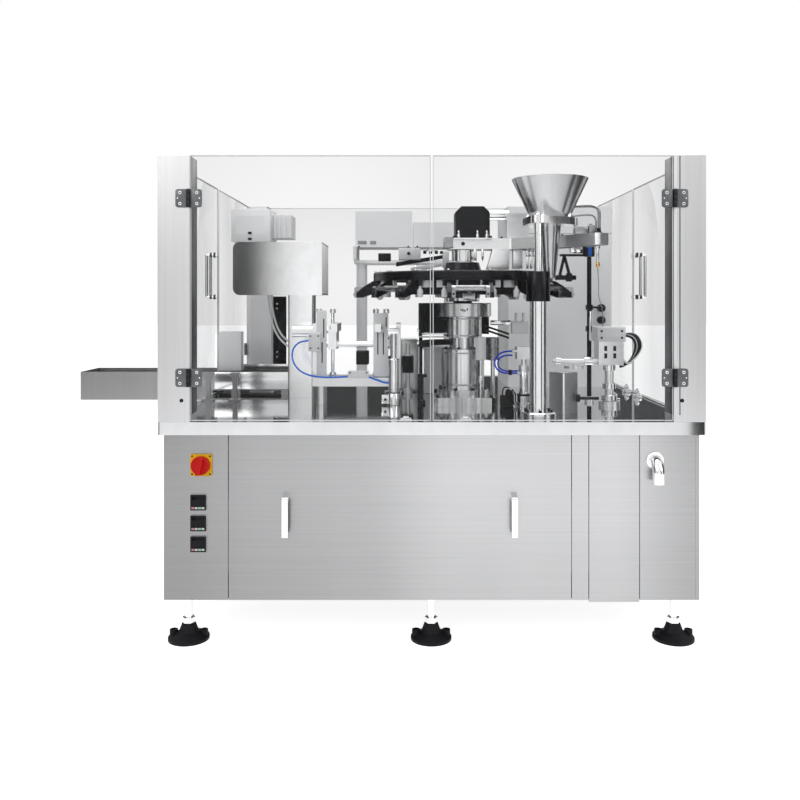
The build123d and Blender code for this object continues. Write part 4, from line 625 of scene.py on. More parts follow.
@dataclass
class Studio:
    """Camera, lamps, floor and backdrop of the photograph.

    Args:
        station: The camera's place, in millimetres.
        lens: Focal length for a 36 mm sensor.
        shift: Lens shift along X and Y.
    """

    station: Point = (-80.0, -3385.0, 1085.0)
    lens: float = 37.9
    shift: tuple[float, float] = (-0.0075, -0.1275)

    def build(self) -> None:
        """Make the camera, the lamps, the floor and the world."""
        self._camera()
        self._lamps()
        self._cards()
        self._floor()
        self._world()

    def _camera(self) -> None:
        """Level camera with parallel verticals."""
        data = bpy.data.cameras.new("camera")
        data.lens = self.lens
        data.sensor_width = 36.0
        data.shift_x, data.shift_y = self.shift
        data.clip_start, data.clip_end = 0.05, 60.0
        camera = put("camera", data)
        camera.location = [c * MM for c in self.station]
        camera.rotation_euler = (math.radians(90), 0, 0)
        bpy.context.scene.camera = camera

    def _lamps(self) -> None:
        """Soft boxes in front, at the sides and above."""
        boxes = (
            ("key_left", (-2.6, -3.4, 2.9), (0.0, 0.0, 0.9), 2.2, 2.6, 46.0),
            ("key_right", (3.0, -2.8, 2.6), (0.2, 0.0, 0.9), 1.8, 2.6, 38.0),
            ("top", (0.0, -0.2, 4.2), (0.0, 0.0, 0.8), 3.4, 2.6, 84.0),
            ("rear", (0.4, 3.6, 2.8), (0.0, 0.0, 1.0), 3.4, 2.4, 30.0),
        )
        for name, place, target, width, height, power in boxes:
            data = bpy.data.lights.new(name, "AREA")
            data.shape = "RECTANGLE"
            data.size, data.size_y, data.energy = width, height, power
            lamp = put(name, data)
            lamp.location = place
            aim = Vector(target) - Vector(place)
            lamp.rotation_euler = aim.to_track_quat("-Z", "Y").to_euler()

    def _cards(self) -> None:
        """Black cards round the machine that only its bright metal mirrors."""
        material = bpy.data.materials.new("card_black")
        material.use_nodes = True
        shader = material.node_tree.nodes["Principled BSDF"]
        shader.inputs["Base Color"].default_value = (0.03, 0.03, 0.03, 1.0)
        shader.inputs["Roughness"].default_value = 0.9
        cards = (
            ("card_left", (-3.3, -0.5, 1.2), (0.0, 1.5, 1.1)),
            ("card_right", (3.3, -0.3, 1.2), (0.0, 1.3, 1.1)),
            ("card_rear", (0.0, 3.2, 1.25), (4.2, 0.0, 0.95)),
            ("card_front_left", (-2.8, -4.0, 1.2), (0.7, 0.0, 1.3)),
            ("card_front_right", (2.95, -4.0, 1.2), (0.8, 0.0, 1.3)),
        )
        for name, place, half in cards:
            bm = bmesh.new()
            size = Matrix.Diagonal((*[max(h, 0.01) for h in half], 1.0))
            bmesh.ops.create_cube(bm, size=2.0, matrix=Matrix.Translation(place) @ size)
            card = put(name, to_mesh(bm, name))
            card.data.materials.append(material)
            card.visible_camera = False
            card.visible_diffuse = False
            card.visible_transmission = False
            card.visible_shadow = False

    def _floor(self) -> None:
        """A large pale floor that shows white to the camera and keeps shadows."""
        bm = bmesh.new()
        bmesh.ops.create_grid(bm, x_segments=1, y_segments=1, size=30.0)
        floor = put("floor", to_mesh(bm, "floor"))
        material = bpy.data.materials.new("floor_white")
        material.use_nodes = True
        tree = material.node_tree
        shader = tree.nodes["Principled BSDF"]
        shader.inputs["Roughness"].default_value = 0.9
        place = add_node(tree, "TexCoord").outputs["Object"]
        noise = add_node(tree, "TexNoise", {"Scale": 0.7}, {"Vector": place})
        shade = add_node(
            tree, "MapRange", {"To Min": 0.80, "To Max": 0.84}, {"Value": noise.outputs["Fac"]},
        )
        tree.links.new(shade.outputs["Result"], shader.inputs["Base Color"])
        glow = add_node(tree, "Emission", {"Strength": 0.86})
        both = add_node(
            tree, "AddShader", links={0: shader.outputs["BSDF"], 1: glow.outputs["Emission"]},
        )
        self._choose(tree, shader.outputs["BSDF"], both.outputs["Shader"], "Material Output")
        floor.data.materials.append(material)

    def _world(self) -> None:
        """White to the camera, and a soft grey light on the machine."""
        world = bpy.data.worlds.new("studio")
        bpy.context.scene.world = world
        world.use_nodes = True
        tree = world.node_tree
        back = tree.nodes["Background"]
        back.inputs["Color"].default_value = (0.62, 0.63, 0.65, 1.0)
        back.inputs["Strength"].default_value = 0.55
        white = add_node(tree, "Background", {"Color": (1.0, 1.0, 1.0, 1.0), "Strength": 1.0})
        self._choose(tree, back.outputs["Background"], white.outputs["Background"], "World Output")

    def _choose(
        self, tree: bpy.types.NodeTree, usual: bpy.types.NodeSocket, seen: bpy.types.NodeSocket, end: str,
    ) -> None:
        """Show one shader to what is seen directly or mirrored, and another to the light.

        Args:
            tree: The nodes of the material or the world.
            usual: Shader that the light meets.
            seen: Shader that is seen.
            end: Name of the output node.
        """
        mix = add_node(tree, "MixShader", links={0: self._seen(tree), 1: usual, 2: seen})
        tree.links.new(mix.outputs["Shader"], tree.nodes[end].inputs["Surface"])

    @staticmethod
    def _seen(tree: bpy.types.NodeTree) -> bpy.types.NodeSocket:
        """A factor of 1 for camera, mirror and see-through rays.

        Args:
            tree: The nodes of the world or the floor.

        Returns:
            The factor.
        """
        path = add_node(tree, "LightPath")
        total = None
        for name in ("Is Camera Ray", "Is Glossy Ray", "Is Transmission Ray"):
            if total is None:
                total = path.outputs[name]
                continue
            top = add_node(tree, "Math", links={0: total, 1: path.outputs[name]}, operation="MAXIMUM")
            total = top.outputs["Value"]
        return total


@dataclass
class Dressing:
    """Finishes and soft edges for the CAD nodes that stay in view.

    Args:
        edge: Width of the softened edges, in millimetres.
        flat: The node that is shaded flat, because its louvres spoil smooth shading.
        finishes: Finish of each node, by the start of its name.
    """

    edge: float = 0.7
    flat: str = "cabinet_body"
    finishes: dict[str, Finish] = field(default_factory=lambda: {
        "foot_pads": Finishes.RUBBER, "foot_screws": Finishes.BRIGHT, "base_frame": Finishes.FRAME,
        "table_top": Finishes.TABLE, "cabinet_body": Finishes.PANEL, "control_panel": Finishes.PANEL,
        "service_panel": Finishes.PANEL, "right_covers": Finishes.PANEL,
        "service_handles": Finishes.BRIGHT, "switch_body": Finishes.YELLOW,
        "switch_knob": Finishes.RED, "temperature_controllers": Finishes.BLACK,
        "vent_elbow": Finishes.BRIGHT, "guard_posts": Finishes.POST, "rear_guard": Finishes.ACRYLIC,
        "post_hinges": Finishes.HINGE, "front_door": Finishes.ACRYLIC, "front_hinge": Finishes.HINGE,
        "side_door": Finishes.ACRYLIC, "side_fittings": Finishes.BRIGHT,
        "indexer_case": Finishes.DARK, "drive_motor": Finishes.MOTOR, "cam_shaft": Finishes.SATIN,
        "carousel_column": Finishes.COLUMN, "carousel_disc": Finishes.DARK,
        "clip_rocker": Finishes.SATIN, "funnel_lift": Finishes.BRIGHT, "funnel": Finishes.SPUN,
        "filler_post": Finishes.BRIGHT, "overhead_arm": Finishes.ALU, "arm_drive": Finishes.BLACK,
        "conveyor_frame": Finishes.TROUGH, "conveyor_roller": Finishes.SATIN,
        "conveyor_belt": Finishes.BELT, "printer_housing": Finishes.SHEET,
        "seal_station": Finishes.ALU, "seal_jaw": Finishes.ALU, "bag_feeder": Finishes.WHITE,
        "electrical_cabinet": Finishes.WHITE, "regulator": Finishes.BLACK,
        "opening_station": Finishes.ALU, "left_air_hose": Finishes.HOSE,
        "right_air_hose": Finishes.HOSE,
    })

    def build(self) -> None:
        """Give each CAD node its finish, smooth shading and softened edges."""
        for name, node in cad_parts.items():
            finish = self._finish(name)
            mesh = node.data
            if "custom_normal" in mesh.attributes:
                mesh.attributes.remove(mesh.attributes["custom_normal"])
            mesh.polygons.foreach_set("use_smooth", [True] * len(mesh.polygons))
            mesh.materials.clear()
            mesh.materials.append(PAINTS.get(finish))
            weld = node.modifiers.new("weld", "WELD")
            weld.merge_threshold = WELD_DISTANCE
            if name == self.flat:
                mesh.set_sharp_from_angle(angle=math.radians(30))
                mesh.shade_flat()
            elif finish.surface is Surface.ACRYLIC:
                mesh.set_sharp_from_angle(angle=math.radians(30))
            else:
                soft = node.modifiers.new("soft_edges", "BEVEL")
                soft.width = self.edge * MM
                soft.segments = 2
                soft.limit_method = "ANGLE"
                soft.angle_limit = math.radians(35)
                soft.use_clamp_overlap = True
                soft.harden_normals = True

    def _finish(self, name: str) -> Finish:
        """The finish whose key is the longest start of the node's name."""
        keys = [k for k in self.finishes if name.startswith(k)]
        return self.finishes[max(keys, key=len)]


@dataclass
class AirHoses:
    """The two blue air hoses, each on the route of its CAD tube.

    Args:
        radius: Outside radius, in millimetres.
        left: Route of the left hose, as in the part's source.
        right: Route of the right hose, as in the part's source.
        left_length: Length of the left hose; not used.
        right_length: Length of the right hose; not used.
    """

    radius: float = 3.0
    left: tuple[Point, ...] = (
        (-434, -300, 929), (-462, -301, 928), (-488, -306, 910), (-497, -315, 879),
        (-488, -327, 846), (-463, -337, 819), (-424, -344, 803), (-374, -346, 798),
        (-320, -345, 799), (-268, -345, 803), (-222, -345, 802), (-186, -345, 789),
        (-160, -344, 779), (-144, -344, 778),
    )
    right: tuple[Point, ...] = (
        (298, -387, 896), (276, -388, 896), (250, -390, 887), (233, -392, 862),
        (240, -392, 833), (264, -390, 818), (294, -388, 817), (316, -387, 818),
    )
    left_length: float = 491.0
    right_length: float = 186.0

    def build(self) -> None:
        """Make both hoses as fixed tubes along their routes."""
        for side, points, length, finish in (
            ("left", self.left, self.left_length, Finishes.HOSE_PALE),
            ("right", self.right, self.right_length, Finishes.HOSE),
        ):
            hose = tube(f"{side}_hose", points, self.radius, finish)
            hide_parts(f"{side}_air_hose")


@dataclass
class GuardSheets:
    """Bright cut edges of the clear sheets.

    Args:
        rim: Width of the bright edge.
        proud: How far it stands out of the sheet.
        seal: Thickness of the pale seal where two side doors meet.
        sheets: Each sheet's node and body.
    """

    rim: float = 2.6
    proud: float = 0.25
    seal: float = 0.8
    sheets: tuple[tuple[str, str], ...] = (
        ("front_door_left", "left_front_door"), ("front_door_right", "right_front_door"),
        ("side_door_left_front", "left_front_side_door"), ("side_door_left_rear", "left_rear_side_door"),
        ("side_door_right_front", "right_front_side_door"),
        ("side_door_right_rear", "right_rear_side_door"),
        ("rear_guard", ROOT),
    )

    def build(self) -> None:
        """Make the bright edges of each sheet, and a seal where two side doors meet."""
        for node, body in self.sheets:
            low, high = (Vector(c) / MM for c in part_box(node))
            piece = Piece(f"{node}_edges", Finishes.EDGE, body)
            thin = 1 if high.y - low.y < 20 else 0
            wide = 1 - thin
            grown_low, grown_high = low.copy(), high.copy()
            grown_low[thin] -= self.proud
            grown_high[thin] += self.proud
            for end in (0, 1):
                if end and node.startswith("side"):
                    continue
                a, b = grown_low.copy(), grown_high.copy()
                if end:
                    a[wide] = high[wide] - self.rim
                else:
                    b[wide] = low[wide] + self.rim
                piece.block(tuple(a), tuple(b), 0.5)
            for end in (0, 1):
                a, b = grown_low.copy(), grown_high.copy()
                if end:
                    a.z = high.z - self.rim
                else:
                    b.z = low.z + self.rim
                a[wide] += self.rim
                b[wide] -= self.rim
                piece.block(tuple(a), tuple(b), 0.5)
            piece.make()
            if node.startswith("side") and node.endswith("front"):
                seal = Piece(f"{node}_seal", Finishes.WHITE, body)
                inner = high.x if high.x < 0 else low.x
                toward = self.seal if high.x < 0 else -self.seal
                seal.block(
                    (min(inner, inner + toward), high.y - 10.0, low.z + 2.0),
                    (max(inner, inner + toward), high.y - 0.5, high.z - 2.0), 0.2,
                )
                seal.make()


@dataclass(frozen=True)
class HingePlace:
    """Where one pair of hinges sits.

    Args:
        name: Name of the door.
        body: The door's CAD body.
        node: The CAD node of the leaves on the door.
        pin: The pin's X and Y.
        along: Way from the pin along the door.
        inward: Side of the pin on which the faces lie, -1 or 1.
    """

    name: str
    body: str
    node: str
    pin: tuple[float, float]
    along: tuple[float, float]
    inward: int


@dataclass
class Hinges:
    """Cast hinges with rounded leaves, screws and black knuckles.

    Args:
        reach: Length of a leaf from the pin.
        height: Height of a leaf.
        rows: Heights of the two rows.
        screw_reach: Distance of the screws from the pin.
        screw_rise: Height of the screws above or below the row.
        places: The doors' hinges.
    """

    reach: float = 41.0
    height: float = 57.0
    rows: tuple[float, float] = (838.0, 1394.0)
    screw_reach: float = 26.0
    screw_rise: float = 17.0
    places: tuple[HingePlace, ...] = (
        HingePlace("left_front", "left_front_door", "front_hinge_left", (-753, -782), (1, 0), 1),
        HingePlace("right_front", "right_front_door", "front_hinge_right", (753, -782), (-1, 0), -1),
        HingePlace(
            "left_side_front", "left_front_side_door", "side_fittings_left_front", (-857, -688), (0, 1),
            -1,
        ),
        HingePlace(
            "left_side_rear", "left_rear_side_door", "side_fittings_left_rear", (-857, 688), (0, -1), 1,
        ),
        HingePlace(
            "right_side_front", "right_front_side_door", "side_fittings_right_front", (857, -688), (0, 1),
            1,
        ),
        HingePlace(
            "right_side_rear", "right_rear_side_door", "side_fittings_right_rear", (857, 688), (0, -1),
            -1,
        ),
    )

    def build(self) -> None:
        """Make the moving and the fixed leaves of every door."""
        for place in self.places:
            for moving in (True, False):
                self._leaves(place, moving)

    def _leaves(self, place: HingePlace, moving: bool) -> None:
        """Make the two leaves on one side of a door's pins.

        Args:
            place: The door's hinges.
            moving: True for the leaves on the door.
        """
        kind = "door" if moving else "post"
        body = place.body if moving else ROOT
        leaf = Piece(f"hinge_{place.name}_{kind}", Finishes.HINGE, body)
        rim = Piece(f"hinge_bosses_{place.name}_{kind}", Finishes.BRIGHT, body)
        screws = Piece(f"hinge_sockets_{place.name}_{kind}", Finishes.SCREW, body)
        sign = 1 if moving else -1
        for row in self.rows:
            outline = self._outline(sign)
            leaf.prism(
                [self._at(place, u, 2.0, row + z) for u, z in outline],
                self._way(place, 5.0), 1.0,
            )
            for z in (-self.screw_rise, self.screw_rise):
                u = sign * self.screw_reach
                inside, outside, top = (self._at(place, u, w, row + z) for w in (2.4, -0.2, -0.5))
                rim.rod(inside, outside, 6.2, 4.8, sides=28)
                screws.rod(self._at(place, u, 0.2, row + z), top, 2.6, sides=6)
            inside, outside = (self._at(place, sign * 34, w, row) for w in (2.4, 1.4))
            rim.rod(inside, outside, 2.2, sides=18)
            third = self.height / 3
            low = row - self.height / 2
            bands = ((low + third + 0.5, low + 2 * third - 0.5),) if moving else (
                (low, low + third), (low + 2 * third, low + 3 * third),
            )
            for z0, z1 in bands:
                screws.pin(place.pin, z0, z1, 6.0, bevel=0.6)
        stands_for = (place.node,) if moving else ("post_hinges",)
        leaf.make(replaces=stands_for)
        rim.make()
        screws.make()

    def _outline(self, sign: int) -> list[tuple[float, float]]:
        """Leaf outline with two rounded outer corners.

        Args:
            sign: Side of the pin, -1 or 1.

        Returns:
            Pairs of reach and height.
        """
        half, round_off = self.height / 2, 8.0
        points = [(sign * 6.6, -half)]
        for quarter, side in ((-90, -1), (0, 1)):
            for step in range(6):
                a = math.radians(quarter + step * 18)
                u = self.reach - round_off + round_off * math.cos(a)
                points.append((sign * u, side * (half - round_off) + round_off * math.sin(a)))
        points.append((sign * 6.6, half))
        return points

    @staticmethod
    def _at(place: HingePlace, u: float, w: float, z: float) -> Point:
        """A point of a hinge, from its reach, its depth and its height."""
        depth = w * place.inward
        return (
            place.pin[0] + u * place.along[0] - depth * place.along[1],
            place.pin[1] + u * place.along[1] + depth * place.along[0],
            z,
        )

    @staticmethod
    def _way(place: HingePlace, depth: float) -> Point:
        """The direction into the sheet, times a depth."""
        return (-place.along[1] * depth * place.inward, place.along[0] * depth * place.inward, 0.0)


@dataclass
class DoorFurniture:
    """Side door handles, door catches, the dark sheets of painted shade on the posts' inner faces, and the
    posts' plugs.

    Args:
        face: Outside face of the side doors, from the middle.
        post_inside: Inner face of the posts, from the middle.
        reach: How far the bar stands off the sheet.
        post_low: Height of the posts' painted shade sheets at the bottom.
        post_high: Height of the posts' painted shade sheets at the top.
        skin: Thickness of the painted shade sheets.
        ends: Heights of the two ends of the bar.
        handles: Door, side and Y of each handle.
    """

    face: float = 850.0
    post_inside: float = 750.0
    reach: float = 34.0
    post_low: float = 722.0
    post_high: float = 1526.0
    skin: float = 0.5
    ends: tuple[float, float] = (1089.0, 1259.0)
    handles: tuple[tuple[str, int, float], ...] = (
        ("left_front", -1, 12.0), ("left_rear", -1, 78.0),
        ("right_front", 1, 12.0), ("right_rear", 1, 78.0),
    )

    def build(self) -> None:
        """Make the handles, the catches, the painted shade sheets and the plugs."""
        for name, side, y in self.handles:
            self._handle(name, side, y)
        catch = Piece("door_catches", Finishes.BRIGHT)
        for x in (-80.0, 106.0):
            catch.block((x - 19, -765.5, 700), (x + 19, -748, 709), 1.2)
            catch.block((x - 9, -760, 709), (x + 9, -750, 717), 1.0)
            for step in (-13, 13):
                catch.pin((x + step, -757), 709, 712, 3.4, sides=20)
        catch.make()
        # Painted shade: thin dark sheets laid on the four posts' inner faces.
        shade_liners = Piece("post_painted_shade", Finishes.PAINTED_SHADE)
        for side in (-1, 1):
            for y0, y1 in ((-774.0, -686.0), (686.0, 774.0)):
                x = side * self.post_inside
                inner = x - side * self.skin
                shade_liners.block((min(x, inner), y0, self.post_low), (max(x, inner), y1, self.post_high), 0.2)
        shade_liners.make()
        low, high = self.post_low, self.post_high
        Piece("post_strip", Finishes.WHITE).block((750, -775.5, low), (758.5, -774.9, high), 0.1).make()
        Piece("post_groove", Finishes.SCREW).block((767.5, -775.4, low), (770.5, -774.9, high), 0.1).make()
        plugs = Piece("post_plugs", Finishes.SCREW)
        for x in (-776.0, 776.0):
            plugs.rod((x, -774.6, 767), (x, -777.4, 767), 6.4, 5.4)
            plugs.rod((x, -777.4, 767), (x, -778.2, 767), 2.6, sides=6)
        plugs.make()

    def _handle(self, name: str, side: int, y: float) -> None:
        """Make one bar handle with its feet and dark end collars.

        Args:
            name: The door's name.
            side: Side of the machine, -1 or 1.
            y: Place along the door.
        """
        low, high = self.ends
        near, far, turn = side * self.face, side * (self.face + self.reach), 9.0
        inner = far - side * turn
        bar = tube(f"handle_bar_{name}", [
            (near, y, low), ((near + inner) / 2, y, low), (inner, y, low), (far, y, low),
            (far, y, low + turn), (far, y, (low + high) / 2), (far, y, high - turn),
            (far, y, high), (inner, y, high), ((near + inner) / 2, y, high), (near, y, high),
        ], 6.0, Finishes.BRIGHT, f"{name}_side_door")
        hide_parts(f"side_fittings_{name}")
        feet = Piece(f"handle_feet_{name}", Finishes.BLACK, f"{name}_side_door")
        for z in self.ends:
            feet.turned(
                (near, y, z), [(0, 0), (10, 0), (10, 4), (8.4, 6), (6.2, 6), (0, 6)],
                axis=(side, 0, 0), steps=36,
            )
            feet.turned(
                (near + side * 12, y, z), [(6.05, 0), (8.2, 0), (8.2, 9), (6.05, 9), (6.05, 0)],
                axis=(side, 0, 0), steps=36,
            )
        feet.make()


@dataclass
class OperatorControls:
    """Displays and keys of the controllers, and the switch plate's screws.

    Args:
        x: Middle of the controllers.
        rows: Heights of the controllers.
        face: Y of the controllers' front.
    """

    x: float = -729.0
    rows: tuple[float, ...] = (446.0, 381.0, 316.0)
    face: float = -758.0

    def build(self) -> None:
        """Make the windows, seals and keys of the controllers."""
        seal = Piece("controller_seals", Finishes.KEY_WHITE)
        window = Piece("controller_windows", Finishes.DISPLAY)
        digits = Piece("controller_digits", Finishes.BLACK)
        for z in self.rows:
            for x0, x1, z0, z1 in (
                (-25.4, 25.4, 24, 25.4), (-25.4, 25.4, -25.4, -24), (-25.4, -24, -24, 24),
                (24, 25.4, -24, 24),
            ):
                seal.block((self.x + x0, -751.4, z + z0), (self.x + x1, -750, z + z1), 0.3)
            window.block(
                (self.x - 18.6, self.face + 0.5, z - 8.6), (self.x + 18.6, self.face + 2, z + 18.6), 0.3,
            )
            for row, tall in ((11.5, 8.0), (-1.5, 6.0)):
                for column in (-12, -4, 4, 12):
                    self._digit(digits, self.x + column, z + row, tall)
        seal.make()
        window.make()
        digits.make()
        for name, finish, columns in (
            ("pink", Finishes.KEY_PINK, (-15.75,)), ("white", Finishes.KEY_WHITE, (-5.25, 15.75)),
            ("green", Finishes.KEY_GREEN, (5.25,)),
        ):
            keys = Piece(f"controller_keys_{name}", finish)
            for z in self.rows:
                for column in columns:
                    keys.block(
                        (self.x + column - 4.4, self.face - 1.3, z - 19.6),
                        (self.x + column + 4.4, self.face, z - 13.4), 0.6,
                    )
            keys.make()
        screws = Piece("switch_screws", Finishes.SCREW)
        for x in (-748.0, -692.0):
            for z in (535.0, 591.0):
                screws.rod((x, -756, z), (x, -757.6, z), 3.0, 2.4, sides=24)
        screws.make()
        mark = Piece("switch_marks", Finishes.BLACK)
        mark.prism(
            [(-704, -756.1, 588), (-696, -756.1, 581), (-697, -756.1, 579.6), (-705, -756.1, 586.6)],
            (0, -0.4, 0),
        )
        mark.make()

    def _digit(self, piece: Piece, x: float, z: float, tall: float) -> None:
        """Add the seven unlit bars of one digit.

        Args:
            piece: The piece that gathers the digits.
            x: Middle of the digit.
            z: Middle height.
            tall: Height of the digit.
        """
        y0, y1, wide, thick = self.face + 0.2, self.face + 0.6, tall * 0.55, 0.8
        for level in (-1, 0, 1):
            mid = z + level * tall / 2
            piece.block((x - wide / 2, y0, mid - thick / 2), (x + wide / 2, y1, mid + thick / 2))
        for side in (-1, 1):
            for half in (0, 1):
                low = z - tall / 2 * half + 0.6
                edge = x + side * wide / 2
                piece.block((edge - thick / 2, y0, low), (edge + thick / 2, y1, low + tall / 2 - 1.2))


@dataclass
class CarouselDetails:
    """Screws, roller caps, springs and the fixed parts round the column.

    Args:
        centre: The carousel's X and Y.
        stations: Angles of the eight stations.
    """

    centre: tuple[float, float] = (130.0, -265.0)
    stations: tuple[float, ...] = (-45, 0, 45, 90, 135, 180, 225, 270)

    def _at(self, angle: float, reach: float, side: float, z: float) -> Point:
        """A point of a station."""
        a = math.radians(angle)
        return (
            self.centre[0] + reach * math.cos(a) - side * math.sin(a),
            self.centre[1] + reach * math.sin(a) + side * math.cos(a),
            z,
        )

    def build(self) -> None:
        """Make the small parts on the turning disc and the fixed column."""
        screws = Piece("disc_screws", Finishes.BRIGHT, "carousel")
        for angle in self.stations:
            for side in (-1, 1):
                for reach in (304.0, 320.0):
                    at = self._at(angle, reach, side * 69, 0)
                    screws.pin(at, 1178, 1183, 4.4, bevel=0.6, sides=24)
        for step in range(12):
            at = self._at(step * 30, 66, 0, 0)
            screws.pin(at, 1170, 1178, 4.6, bevel=0.6, sides=24)
        screws.make()
        for number, angle in enumerate(self.stations):
            body = f"clip_{number + 1}"
            caps = Piece(f"roller_cap_{number + 1}", Finishes.WHITE, body)
            for side in (-1, 1):
                near, far = (self._at(angle, 306, side * out, 1090) for out in (16.2, 20))
                caps.rod(near, far, 12.4, 11.4, sides=32)
            caps.make()
            bolts = Piece(f"clip_bolts_{number + 1}", Finishes.SCREW, body)
            for side in (-1, 1):
                near, far = (self._at(angle, reach, side * 55.7, 1098) for reach in (398.4, 401.4))
                bolts.rod(near, far, 3.6, bevel=0.5, sides=20)
            bolts.make()
            spring = Piece(f"clip_spring_{number + 1}", Finishes.BRIGHT, "carousel")
            for side in (-1, 1):
                self._coil(spring, angle, side * 40, 318, 1132, 1146)
                spring.pin(self._at(angle, 318, side * 40, 0), 1128, 1146, 2.6, sides=16)
            spring.make()
        self._covers()
        self._underside()
        bolts = Piece("column_bolts", Finishes.SCREW)
        for step in range(8):
            at = self._at(22.5 + step * 45, 88, 0, 0)
            bolts.pin(at, 751, 759, 5.4, bevel=0.7, sides=24)
            bolts.pin(at, 759, 759.4, 2.7, sides=6)
        for sx in (-1, 1):
            for sy in (-1, 1):
                x, y = self.centre[0] + sx * 97, self.centre[1] + sy * 97
                bolts.pin((x, y), 728, 737, 6.0, bevel=0.7, sides=24)
        for step in range(6):
            at = self._at(step * 60 + 10, 62, 0, 0)
            bolts.pin(at, 898, 905, 4.6, bevel=0.6, sides=24)
        bolts.make()
        rings = Piece("column_rings", Finishes.SATIN)
        for z, r in ((770.0, 79.6), (885.0, 79.6), (948.0, 70.6), (1009.0, 70.6)):
            rings.turned(
                (*self.centre, 0), [(r - 3, z - 3), (r, z - 3), (r + 0.6, z), (r, z + 3), (r - 3, z + 3)],
            )
        rings.make()
        self._clamp()

    def _covers(self) -> None:
        """Make the bright ring on the cam, the hub's sleeves and the ring's engraved mark."""
        x, y = self.centre
        ring = Piece("cam_ring_cover", Finishes.COLUMN)
        ring.turned((x, y, 0), [
            (80, 1017), (103.4, 1017), (105.2, 1018.8), (105.2, 1064.6), (103.4, 1066.4), (66, 1066.4),
            (66, 1066),
            (80, 1066), (80, 1017),
        ], steps=96)
        ring.make()
        mark = Piece("cam_ring_mark", Finishes.SCREW)
        for angle, low, high in (
            (-97.0, 1040, 1046), (-93.5, 1036, 1046), (-89.5, 1036, 1044), (-85.0, 1040, 1048),
        ):
            p = self._at(angle, 105.0, 0, 0)
            mark.block((p[0] - 2.2, p[1] - 0.7, low), (p[0] + 2.2, p[1] + 0.7, high))
        mark.make()
        hub = Piece("hub_sleeves", Finishes.BRIGHT, "carousel")
        hub.turned(
            (x, y, 0),
            [(60.2, 1074), (61, 1074), (62, 1075), (62, 1142), (61, 1143), (60.2, 1143), (60.2, 1074)],
        )
        hub.turned((x, y, 0), [
            (60.2, 1180), (64, 1180), (64, 1190), (61, 1192), (61, 1212), (58, 1216.4), (24, 1216.4),
            (24, 1216.1),
            (60.2, 1216.1), (60.2, 1180),
        ])
        hub.make()

    def _underside(self) -> None:
        """Make the dark skirt, and the white blocks and rollers that hang in pairs under the disc."""
        x, y = self.centre
        skirt = Piece("disc_skirt", Finishes.RUBBER, "carousel")
        skirt.turned(
            (x, y, 0), [(204, 1098), (210, 1098), (210, 1145.7), (204, 1145.7), (204, 1098)], steps=96,
        )
        skirt.make()
        blocks = Piece("disc_blocks", Finishes.WHITE, "carousel")
        rollers = Piece("disc_rollers", Finishes.WHITE, "carousel")
        studs = Piece("disc_studs", Finishes.SCREW, "carousel")
        for angle in self.stations:
            for side in (-1, 1):
                place = Vector(self._at(angle, 288, side * 88, 1133))
                turn = Matrix.Translation(place) @ Matrix.Rotation(math.radians(angle + 90), 4, "Z")
                bmesh.ops.create_cube(blocks.bm, size=1.0, matrix=turn @ Matrix.Diagonal((38, 22, 24, 1.0)))
                at = self._at(angle, 284, side * 88, 0)
                studs.pin(at, 1118, 1121, 6.0, sides=6)
                at = self._at(angle, 312, side * 82, 0)
                rollers.turned((at[0], at[1], 0), [
                    (0, 1088), (8.6, 1088), (10, 1090), (10, 1110), (7.5, 1115), (4.6, 1118), (4.6, 1126),
                    (0, 1126),
                ], steps=32)
                studs.pin(at, 1126, 1145.6, 6.4, sides=24)
        blocks.make()
        rollers.make()
        studs.make()

    def _coil(self, piece: Piece, angle: float, side: float, reach: float, low: float, high: float) -> None:
        """Add a small upright coil as a stack of rings."""
        count = 5
        for turn in range(count):
            z = low + (high - low) * (turn + 0.5) / count
            at = self._at(angle, reach, side, z)
            piece.turned(at, [(4.2, -0.9), (5.6, 0), (4.2, 0.9), (3.6, 0), (4.2, -0.9)], steps=18)

    def _clamp(self) -> None:
        """Make the split clamp and the collar that hold the arm on the spindle."""
        x, y = self.centre
        clamp = Piece("spindle_clamp", Finishes.BRIGHT)
        clamp.turned(
            (x, y, 0),
            [(20.2, 1219), (36, 1219), (38, 1221), (38, 1260), (36, 1262), (20.2, 1262), (20.2, 1219)],
        )
        clamp.block((x + 30, y - 9, 1222), (x + 52, y + 9, 1242), 1.5)
        clamp.turned(
            (x, y, 0),
            [(20.2, 1303.2), (30, 1303.2), (30, 1312), (27, 1314), (20.2, 1314), (20.2, 1303.2)],
        )
        clamp.make()
        screw = Piece("spindle_screws", Finishes.SCREW)
        screw.rod((x + 43, y - 16, 1232), (x + 43, y + 12, 1232), 3.0, sides=20)
        screw.rod((x + 43, y - 18, 1232), (x + 43, y - 9, 1232), 5.0, bevel=0.6, sides=24)
        screw.make()


